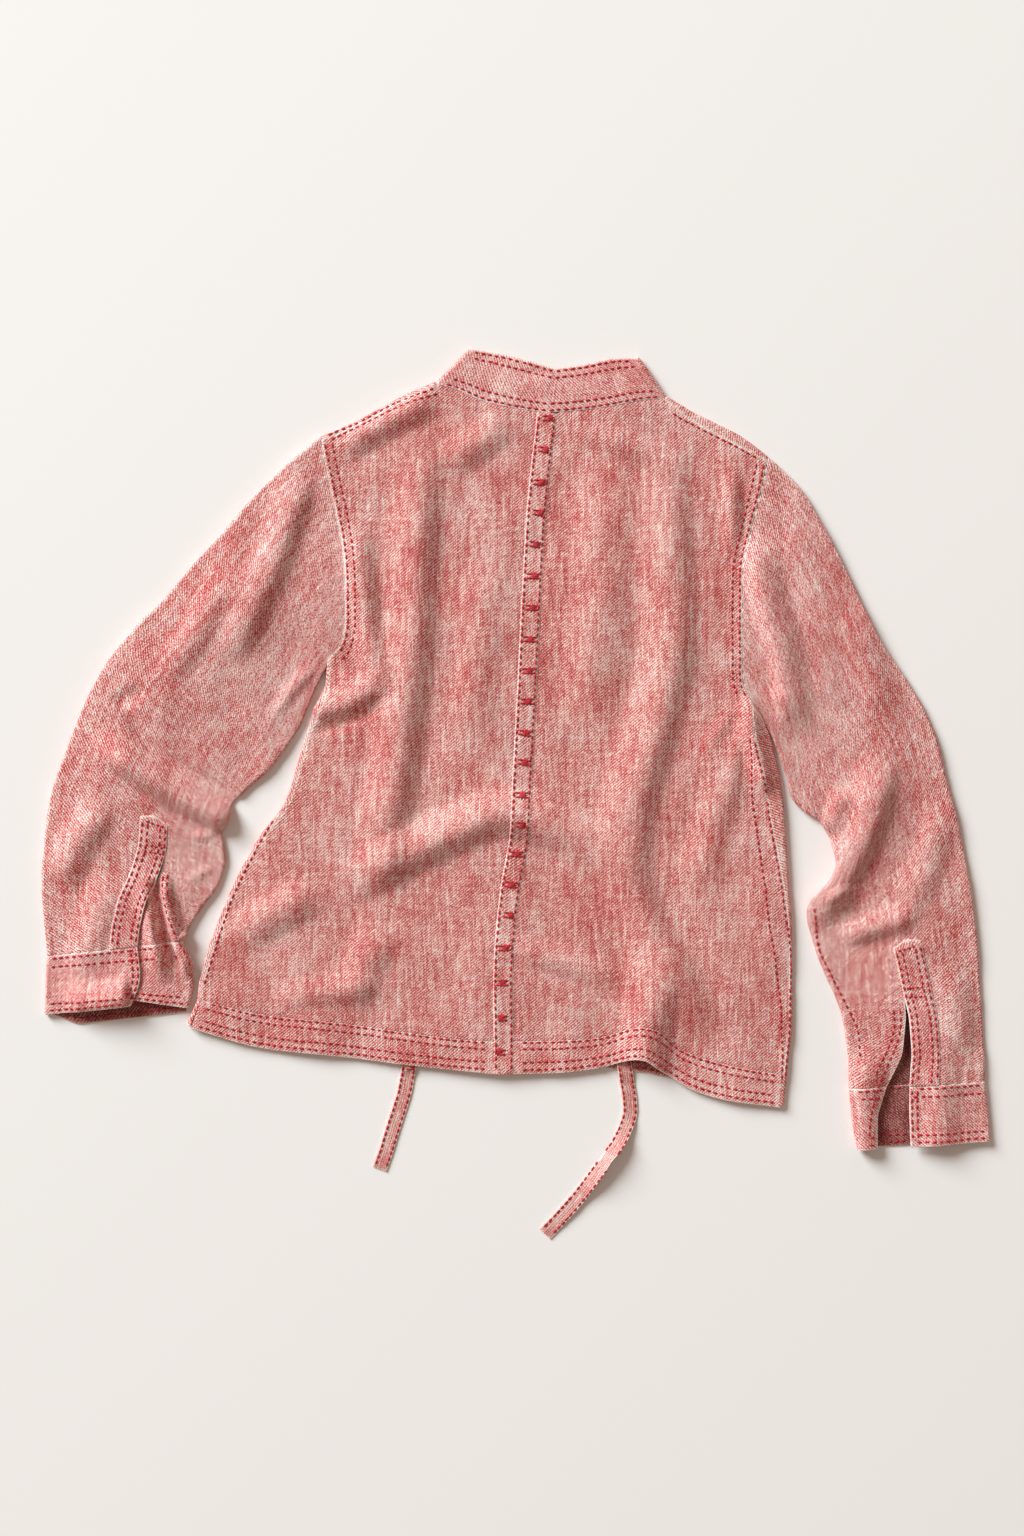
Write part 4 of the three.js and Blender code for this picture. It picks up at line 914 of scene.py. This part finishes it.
def sleeveGrid(side, rings, wall):
    half = halves[side]
    sleeve = half["sleeve"]
    outer, inner, across, width = ringEnds(sleeve, rings)
    run = runAlong((outer + inner) / 2)
    placketSide, farSide = slitShares(sleeve, rings)
    turns = np.linspace(0, 1, 9)
    parts, flats, borders = [], [], []
    opened = np.where(rings > sleeve["apex"], 0.0, cloth["farOff"])[:, None]

    def put(spots, unrolled, border=None):
        parts.append(spots)
        flats.append(paired(unrolled, run[:, None]))
        borders.append(np.full(spots.shape[:2], cloth["farOff"]) if border is None else border)

    def laid(share, layer):
        ring = np.repeat(rings[:, None], share.shape[1], 1)
        plan = sleevePlace(side, ring, share)
        plan[..., 1] += mouthShift(sleeve, ring, share, layer)
        return plan

    def fold(share, layer, way, order):
        plan = laid(np.full((len(rings), 1), float(share)), layer)[:, 0]
        radius = foldRadius(plan, wall)
        for turn in order:
            arc = radius * math.pi * (1 - turn)
            put(curled(plan, way, turn, wall)[:, None],
                (width + arc if share else -arc)[:, None])
        return radius

    near = np.clip(1 - rings, 0, 1)[:, None]
    innerWay = mix(across, half["underarmWay"], near)
    outerWay = mix(-across, half["tipWay"], near)
    parted = cloth["slitStep"] * parting(sleeve, rings)[:, None]

    # inner fold, from below to the top, then the upper layer up to the slit's far side
    fold(1, "tucked", innerWay, turns)
    inside = np.linspace(0, 1, 26)[None, 1:]
    share = 1 + (farSide - 1)[:, None] * inside
    plan = laid(share, "tucked")
    lift = np.maximum(-parted * inside ** 2, cloth["lowest"] - heightOver(plan))
    put(top(plan, lift), share * width[:, None],
        opened + (share - farSide[:, None]) * width[:, None])
    slitAfter = sum(part.shape[1] for part in parts) - 1

    # from the slit's placket side to the outer fold, round it and back along the floor
    share = placketSide[:, None] * (1 - np.linspace(0, 1, outerColumns)[None])
    plan = laid(share, "placket")
    fromSlit = (placketSide[:, None] - share) * width[:, None]
    lift = parted * np.clip(1 - fromSlit / cloth["slitFade"], 0, 1)
    put(top(plan, lift), share * width[:, None], opened + fromSlit)
    radius = fold(0, "placket", outerWay, turns[::-1][1:-1])
    share = np.repeat(np.linspace(0, 1, 40)[None], len(rings), 0)
    put(floorLevel(laid(share, "floor"), wall),
        -(radius * math.pi)[:, None] - share * width[:, None])
    return [np.concatenate(group, 1) for group in (parts, flats, borders)] + [slitAfter]


placket = {"rows": 46, "columns": 10, "point": 5, "pointReach": 12,  # a head with a low point
           "lift": 1.15, "edgeDrop": 0.4}


def placketShell(side):
    sleeve = sleeves[side]
    rings = np.linspace(sleeve["headTop"], sleeve["cuff"], placket["rows"])
    outer, inner, _, width = ringEnds(sleeve, rings)
    placketSide, _ = slitShares(sleeve, rings)
    inward = np.linspace(0, cloth["placket"], placket["columns"])
    share = placketSide[:, None] - inward[None] / width[:, None]
    ring = np.repeat(rings[:, None], len(inward), 1)
    plan = sleevePlace(side, ring, share)
    middle = (outer + inner) / 2
    run = runAlong(middle)
    point = placket["point"] * (1 - np.abs(inward / cloth["placket"] - 0.5) * 2)
    ease = np.clip(1 - run / placket["pointReach"], 0, 1)[:, None] * point[None]
    plan = plan + ease[..., None] * unit(middle[0] - middle[3])
    toEdge = np.minimum(np.minimum(inward, cloth["placket"] - inward)[None], run[:, None])
    fade = np.clip(1 - inward[None] / cloth["slitFade"], 0, 1)
    lift = (cloth["slitStep"] * parting(sleeve, ring) * fade + placket["lift"]
            - placket["edgeDrop"] * smooth(1 - toEdge / 2)
            + puckers(plan, [plan[:, 0], plan[:, -1]], 0.22, 7))
    makeShell(f"placket_{side}", top(plan, lift),
              paired(inward[None] + roll["placket"], run[:, None]), cloth["thin"],
              materials["band"], toEdge)


for side, sleeve in sleeves.items():
    seam, last = sleeve["cuff"], len(sleeve["rings"]) - 1
    armLine = halves[side]["lines"]["armhole"].points[:, :2]
    rings = np.linspace(0, seam, stepsFor(sleeve["length"], cloth["ringStep"]))
    points, flat, border, slitAfter = sleeveGrid(side, rings, cloth["wall"])
    upper = points[..., 2] > 2.6  # clear of the layer on the floor
    toArm = nearest(points[..., :2], armLine)[0]
    points[..., 2] += np.where(upper, puckers(points[..., :2], [armLine], 0.5, 16, 10), 0)
    cuffLine = points[-1, slitAfter + 1:slitAfter + 1 + outerColumns, :2]
    points[..., 2] += np.where(upper, puckers(points[..., :2], [cuffLine], 0.45, 14, 9), 0)
    border = np.minimum(border, np.where(upper, toArm, cloth["farOff"]))
    # its inside face takes the darker colours, which are painted shade
    makeShell(f"sleeve_{side}", points, flat, cloth["thin"], materials["sleeve"], border,
              slitAfter=slitAfter, inside=materials["deep"])

    rings = np.linspace(seam, last, 22)
    points, flat, border, slitAfter = sleeveGrid(side, rings, cloth["turned"])
    flat[..., 1] += roll["cuff"]
    ends = np.minimum(rings - seam, last - rings)[:, None] / (last - seam) * 55
    # its inside face takes the darker colours, which are painted shade
    makeShell(f"cuff_{side}", points, flat, cloth["double"], materials["band"],
              np.minimum(border, ends), slitAfter=slitAfter, rounding=0.55,
              inside=materials["deep"])
    placketShell(side)
print("sleeves made")

# ties: x, y, height of the middle of the tape, tilt
onFront = cloth["wall"] + 0.95
onHem = cloth["turned"] + 0.95
ties = {
    "width": 13.5,
    "left": [(-8, -120, onFront, 0), (-50, -75, onFront, 0), (-85, -105, onFront, 0),
             (-90, -160, onFront, 0), (-93, -200, onFront, 0), (-95, -214, onHem, 0),
             (-98, -246, onHem, 0), (-99, -250, onHem, 0), (-101, -262, 0.6, 0),
             (-104, -277, 0.6, 0), (-113, -305, 0.6, 0), (-120, -328, 0.6, 0),
             (-126, -345, 0.6, 0)],
    "right": [(4, -120, onFront, 0), (52, -160, onFront, 0), (86, -196, onFront, 0),
              (90, -210, onFront, 0), (93, -216, onHem, 0), (99, -249, onHem, 0),
              (100, -255, onHem, 0), (102, -268, 0.6, 0), (104, -282, 0.6, 0),
              (104, -295, 0.6, 0), (99, -309, 2.1, 12), (93, -321, 4.5, 34), (83, -335, 5.9, 50),
              (73, -349, 4.5, 34), (54, -374, 1.7, 8), (26, -405, 0.6, 0)],
}


def makeTie(side):
    rows = ties[side]
    at = np.linspace(0, len(rows) - 1, 9 * (len(rows) - 1) + 1)
    table = np.array(rows, float)
    plan = smoothRows(table[:, :2], at)
    i = np.minimum(at.astype(int), len(rows) - 2)
    t = smooth(at - i)[:, None]
    heights = mix(table[i, 2:], table[i + 1, 2:], t)
    tilt = np.radians(heights[:, 1])[:, None]
    across = np.concatenate([leftOf(plan) * np.cos(tilt), np.sin(tilt)], 1)
    middle = np.concatenate([plan, heights[:, :1]], 1)
    steps = np.linspace(-0.5, 0.5, 6) * ties["width"]
    points = middle[:, None] + across[:, None] * steps[None, :, None]
    run = runAlong(middle)
    border = np.minimum((ties["width"] / 2 - np.abs(steps))[None], (run[-1] - run)[:, None])
    makeShell(f"tie_{side}", points, paired(steps[None] + roll["tie"], run[:, None]),
              cloth["thin"], materials["tape"], border, kind="tape")
    return plan


tiePaths = {side: makeTie(side) for side in sleeves}
print("ties made")

# hand sewing
sewing = {
    "pitch": 6.4, "length": 4.8, "width": 2.3, "height": 1.15,
    "scatter": 0.22,  # how far a stitch strays from its row
    # millimetres in from the edge
    "armhole": (2.4, 9.0), "strip": 1.9, "opening": (2.2, 8.0), "placket": (2, 7, 19, 24),
    "slit": (2.2, 7.0), "tie": (5.0, -5.0),
    # shares of the width, from the seam to the edge
    "collar": (0.05, 0.2, 0.79, 0.94), "hem": (0.045, 0.24, 0.64, 0.86),
    "frontHem": (0.08, 0.26, 0.64, 0.84),
}
randomStitch = random.Random(7)
depsgraph = bpy.context.evaluated_depsgraph_get()
depsgraph.update()
trees = {}


def treeOf(names):
    key = tuple(names)
    if key not in trees:
        verts, polys = [], []
        for name in names:
            solid = shells[name].evaluated_get(depsgraph).to_mesh()
            base = len(verts)
            verts += [v.co.copy() for v in solid.vertices]
            polys += [[base + k for k in p.vertices] for p in solid.polygons]
        trees[key] = BVHTree.FromPolygons(verts, polys)
    return trees[key]


def rowStrokes(path, inset=2.5, pitch=None, length=None):
    path = np.asarray(path, float)[:, :2]
    pitch = pitch or sewing["pitch"]
    length = length or sewing["length"]
    run = runAlong(path)
    strokes = []
    at = inset
    while at + length < run[-1] - inset / 2:
        size = length * randomStitch.uniform(0.82, 1.12)
        a, b = ([np.interp(at + k, run, path[:, n]) for n in (0, 1)] for k in (0, size))
        stray = [randomStitch.uniform(-1, 1) * sewing["scatter"] for _ in range(4)]
        strokes.append(((a[0] + stray[0], a[1] + stray[1]), (b[0] + stray[2], b[1] + stray[3]),
                        sewing["width"] * randomStitch.uniform(0.88, 1.12)))
        at += pitch * randomStitch.uniform(0.93, 1.07)
    return strokes


def offset(path, distance):  # a path moved sideways, to its left
    path = np.asarray(path, float)[:, :2]
    return path + leftOf(path) * distance


def rowsBetween(first, last, shares, inset):
    return [stroke for t in shares for stroke in rowStrokes(mix(first, last, t), inset)]


def sew(name, strokes, targets, above=True, highest=1.0):
    tree = treeOf(targets)
    bm = bmesh.new()
    start, look = (0.2, -1) if above else (-0.2, 1)
    height, lift = (sewing["height"], 0.22) if above else (0.5, 0.0)
    for first, last, width in strokes:
        ends = []
        for x, y in (first, last):
            spot = toMetres(np.array([x, y, 0.0]))
            hit, normal, _, _ = tree.ray_cast(Vector((spot[0], spot[1], start)),
                                              Vector((0, 0, look)))
            if hit is not None and normal.z * look > 0:
                normal = -normal
            ends.append((hit, normal))
        if any(hit is None or hit.z >= highest for hit, _ in ends):
            continue
        (a, na), (b, nb) = ends
        along = b - a
        if along.length > 1.8 * math.dist(first, last) / 1000 or along.length < 1e-5:
            continue
        normal = (na + nb).normalized()
        along.normalize()
        across = normal.cross(along).normalized()
        normal = along.cross(across)
        basis = Matrix((along, across, normal)).transposed().to_4x4()
        size = Matrix.Diagonal(((b - a).length / 2, width / 2000, height / 2000, 1))
        spot = Matrix.Translation((a + b) / 2 + normal * lift / 1000)
        bmesh.ops.create_icosphere(bm, subdivisions=1, radius=1.05, matrix=spot @ basis @ size)
    count = len(bm.faces)
    piece = addPiece(name, bm, materials["thread"])
    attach(piece, "root")
    print(f"{name}: {count} faces")


def ringPath(side, rings, share, shift=0.0):  # a line down a sleeve, `shift` mm along the ring
    rings = np.asarray(rings, float)
    share = np.broadcast_to(np.asarray(share, float), rings.shape)
    width = ringEnds(sleeves[side], rings)[3]
    return sleevePlace(side, rings, share + shift / width)


body = ["back_left_cloth", "back_right_cloth", "hem_back_left_cloth", "hem_back_right_cloth",
        "back_seam_strip_cloth", "collar_cloth", "front_left_cloth", "front_right_cloth",
        "hem_front_left_cloth", "hem_front_right_cloth"]

strokes = []
for side, half in halves.items():
    lines, mirror = half["lines"], half["mirror"]
    arm = lines["armhole"].at(np.linspace(0.01, 0.98, 50))[:, :2]
    for aside in sewing["armhole"]:
        strokes += rowStrokes(offset(arm, aside * mirror))
    band = backs[side][1]
    strokes += rowsBetween(band[0, 3:], band[-1, 3:], sewing["hem"], 8)
    neck, edge = (lines[key].at(np.linspace(0, 0.97, 40))[:, :2] for key in ("neck", "collarTop"))
    strokes += rowsBetween(neck, edge, sewing["collar"], 1.5)
for edge, way in ((strip[:, 0], 1), (strip[:, -1], -1)):
    strokes += rowStrokes(offset(edge, sewing["strip"] * way), 4)
sideRowsSewn = [
    [(-215, -11), (-234, -42), (-250, -72), (-262, -98), (-271, -125), (-280, -153), (-287, -176)],
    [(213, 54), (215, 31), (216, -6), (220, -33), (224, -61), (228, -88), (231, -116),
     (236, -144), (239, -171), (242, -190), (243, -217), (244, -245), (243, -268)],
    [(217, 50), (221, 31), (228, 4), (232, -24), (237, -52), (242, -79), (246, -107),
     (250, -134), (252, -157), (251, -190), (250, -217), (248, -245), (246, -263)],
    [(-74, 373), (-89, 367), (-107, 360), (-126, 351), (-144, 341), (-162, 334), (-176, 328)],
    [(-70, 368), (-89, 362), (-107, 355), (-126, 346), (-144, 337), (-162, 329), (-175, 322)],
    [(141, 351), (150, 345), (169, 335), (187, 326), (206, 316), (224, 306)],
]
for rows in sideRowsSewn:
    strokes += rowStrokes(Line(rows).points)
sew("body_stitches", strokes, body)

# cross-shaped stitches that hold the strip
motifs = {
    "spots": [(30, 345), (26, 316), (22, 286), (21, 258), (18, 229), (16, 200), (14, 171),
              (12, 142), (11, 113), (10, 85), (8, 56), (7, 29), (5, -1), (5, -28), (0, -55),
              (-5, -83), (-6, -111), (-11, -141), (-14, -173), (-15, -205), (-17, -236)],
    "bar": 13.8, "barGap": 3.9, "thickness": 2.1,
    "barTurns": (-0.27, 0, 0.27),  # a bar is a few turns of the thread
    "knot": 9.0, "knotWidth": 1.9,
    # the knot's threads: angle, place along the bar, share of its length
    "knotTurns": [(84, -1.3, 1), (97, 1.0, 1), (52, 0, 0.8), (128, 0.2, 0.8), (2, -0.4, 0.9)],
}


def strokeAt(centre, way, size, width):
    return tuple(centre - way * size / 2), tuple(centre + way * size / 2), width


strokes = []
for x, y in motifs["spots"]:
    lean = math.radians(randomStitch.uniform(-9, 3))
    across = np.array([math.cos(lean), math.sin(lean)])
    down = np.array([-across[1], across[0]])
    spot = np.array([x, y], float)
    for k in (-0.5, 0.5):
        centre = spot + down * k * motifs["barGap"] + across * randomStitch.uniform(-0.5, 0.5)
        for part in motifs["barTurns"]:
            stray = down * randomStitch.uniform(-0.2, 0.2)
            strokes.append(strokeAt(centre + across * part * motifs["bar"] + stray, across,
                                    motifs["bar"] * 0.5, motifs["thickness"]))
    for angle, aside, share in motifs["knotTurns"]:
        a = lean + math.radians(angle + randomStitch.uniform(-7, 7))
        way = np.array([math.cos(a), math.sin(a)])
        strokes.append(strokeAt(spot + across * (1.2 + aside), way, motifs["knot"] * share,
                                motifs["knotWidth"]))
sew("strip_cross_stitches", strokes, ["back_seam_strip_cloth"])

slitRows = {
    "left": [[(-324, -72), (-324, -84), (-322, -98), (-319, -111), (-314, -123), (-309, -135),
              (-303, -145), (-299, -156), (-295, -167), (-294, -178)],
             [(-320, -71), (-320, -83), (-318, -96), (-314, -108), (-310, -118), (-306, -126)]],
    "right": [[(351, -195), (352, -208), (350, -223), (345, -237), (340, -248), (334, -261),
               (330, -272), (324, -295), (322, -318)],
              [(345, -195), (346, -208), (344, -223), (339, -236), (333, -247), (326, -261)],
              [(272, -102), (274, -116), (277, -141), (289, -167), (307, -203), (313, -217),
               (315, -248)]],
}
for side, sleeve in sleeves.items():
    seam, head, last = sleeve["cuff"], sleeve["headTop"], len(sleeve["rings"]) - 1
    down = np.linspace(head + 0.1, seam - 0.05, 40)
    placketSide, _ = slitShares(sleeve, down)
    strokes = []
    for inward in sewing["placket"]:
        strokes += rowStrokes(ringPath(side, down, placketSide, -inward), 2)
    for ring in (head + 0.12, head + 1.05, head + 1.3):
        share, _ = slitShares(sleeve, ring)
        path = np.vstack([ringPath(side, [ring], share, shift) for shift in (-2.5, -13, -23.5)])
        strokes += rowStrokes(path, 0.8, 4.6, 3.4)
    sew(f"placket_{side}_stitches", strokes, [f"placket_{side}_cloth"])

    strokes = []
    for rows in slitRows[side]:
        strokes += rowStrokes(Line(rows).points)
    sew(f"slit_{side}_stitches", strokes, [f"sleeve_{side}_cloth", f"cuff_{side}_cloth",
                                           f"placket_{side}_cloth"])

    strokes = []
    for ring in (seam + 0.1, seam + 0.38, last - 0.36, last - 0.14):
        placketSide, farSide = slitShares(sleeve, ring)
        for share, layer in ((np.linspace(0.01, placketSide - 0.02, 20), "placket"),
                             (np.linspace(farSide + 0.02, 0.99, 20), "tucked")):
            path = sleevePlace(side, np.full(20, ring), share)
            path[:, 1] += mouthShift(sleeve, ring, share, layer)
            strokes += rowStrokes(path, 1.2)
    inner = np.linspace(seam + 0.1, last - 0.15, 12)
    placketSide, _ = slitShares(sleeve, inner)
    for inward in sewing["slit"]:
        strokes += rowStrokes(ringPath(side, inner, placketSide, -inward), 1.5)
    sew(f"cuff_{side}_stitches", strokes, [f"cuff_{side}_cloth"])
    inside, below = [], []
    for ring in (seam + 0.08, last - 0.34, last - 0.14):
        share = np.linspace(0.02, 0.98, 40)
        path = sleevePlace(side, np.full(40, ring), share)
        path[:, 1] += mouthShift(sleeve, ring, share, "floor")
        inside += rowStrokes(path, 1.2)
        below += rowStrokes(path, 1.2)
    sew(f"cuff_{side}_inside_stitches", inside, [f"cuff_{side}_cloth"], highest=0.003)
    sew(f"cuff_{side}_under_stitches", below, [f"cuff_{side}_cloth"], above=False)

    strokes = [stroke for aside in sewing["tie"]
               for stroke in rowStrokes(offset(tiePaths[side], aside), 3, 5.6)]
    sew(f"tie_{side}_stitches", strokes, [f"tie_{side}_tape"])

strokes = []
for side, front in fronts.items():
    strokes += rowsBetween(front["flat"][-1], front["edge"], sewing["frontHem"], 6)
    neck, edge = (line.at(np.linspace(0.02, 0.98, 40))[:, :2]
                  for line in (front["frontNeck"], halves[side]["lines"]["collarFrontTop"]))
    strokes += rowsBetween(neck, edge, sewing["collar"], 1.5)
    for aside in sewing["opening"]:
        strokes += rowStrokes(offset(front["flat"][:, 0], -aside * halves[side]["mirror"]), 6)
sew("front_stitches", strokes, body, above=False)
mouthRow = fronts["right"]["edge"]
strokes = rowStrokes(mouthRow + (0, 3.5), 6) + rowStrokes(mouthRow + (0, 8.5), 6)
sew("hem_inside_stitches", strokes, ["hem_front_right_cloth", "hem_back_right_cloth"],
    highest=0.0032)
print("sewing done")

# sheets: the cut of what shows, in metres
sheets = {
    "back_left_cloth": (0.30, 0.62, 0.142), "back_right_cloth": (0.27, 0.62, 0.143),
    "hem_back_left_cloth": (0.29, 0.035, None), "hem_back_right_cloth": (0.27, 0.035, None),
    "back_seam_strip_cloth": (0.018, 0.607, None),
    "front_left_cloth": (0.30, 0.60, 0.136), "front_right_cloth": (0.28, 0.62, 0.143),
    "hem_front_left_cloth": (0.30, 0.03, None), "hem_front_right_cloth": (0.275, 0.032, None),
    "collar_cloth": (0.50, 0.042, None),
    "sleeve_left_cloth": (0.48, 0.56, 0.2), "sleeve_right_cloth": (0.42, 0.62, 0.19),
    "cuff_left_cloth": (0.27, 0.055, None), "cuff_right_cloth": (0.255, 0.055, None),
    "placket_left_cloth": (0.026, 0.15, None), "placket_right_cloth": (0.026, 0.14, None),
    "tie_left_tape": (0.0135, 0.33, None), "tie_right_tape": (0.0135, 0.42, None),
}
restsOn = {
    "back_left_cloth": ["front_left_cloth"], "back_right_cloth": ["front_right_cloth"],
    "hem_back_left_cloth": ["hem_front_left_cloth"],
    "hem_back_right_cloth": ["hem_front_right_cloth"],
    "back_seam_strip_cloth": ["back_left_cloth", "back_right_cloth"],
    "placket_left_cloth": ["sleeve_left_cloth"], "placket_right_cloth": ["sleeve_right_cloth"],
}
bm = bmesh.new()
bmesh.ops.create_grid(bm, x_segments=1, y_segments=1, size=4)
bmesh.ops.translate(bm, verts=bm.verts, vec=(0, 0, -0.0003))
paper, _, _ = startMaterial("pale floor", {"Base Color": colour(241, 239, 237), "Roughness": 0.9})
addPiece("floor", bm, paper)

for name, (width, length, area) in sheets.items():
    rests = [shells[n] for n in restsOn.get(name, [])] or ["floor"]

# light and camera
studio = {
    "world": 0.34, "worldColour": (1.0, 0.78, 0.65),
    "key": {"spot": (-10.4, 9.9, 7.4), "aim": (0.0, 0.0, 0.0), "size": 8.6, "power": 4160,
            "colour": (0.93, 1.0, 1.02)},
}
world = bpy.data.worlds.new("studio")
bpy.context.scene.world = world
world.use_nodes = True
world.node_tree.nodes["Background"].inputs["Color"].default_value = (*studio["worldColour"], 1)
world.node_tree.nodes["Background"].inputs["Strength"].default_value = studio["world"]
light = bpy.data.lights.new("key", "AREA")
light.shape = "DISK"
light.size = studio["key"]["size"]
light.energy = studio["key"]["power"]
light.color = studio["key"]["colour"]
lamp = bpy.data.objects.new("key", light)
lamp.location = studio["key"]["spot"]
toAim = Vector(studio["key"]["aim"]) - lamp.location
lamp.rotation_euler = toAim.to_track_quat("-Z", "Y").to_euler()
bpy.context.scene.collection.objects.link(lamp)

camera = {"x": -0.0037, "y": 0.0238, "height": 1.963, "lens": 50}
view = bpy.data.cameras.new("camera")
view.lens = camera["lens"]
eye = bpy.data.objects.new("camera", view)
eye.location = (camera["x"], camera["y"], camera["height"])
bpy.context.scene.collection.objects.link(eye)
bpy.context.scene.camera = eye
bpy.context.scene.view_settings.view_transform = "Standard"
print("light and camera set")
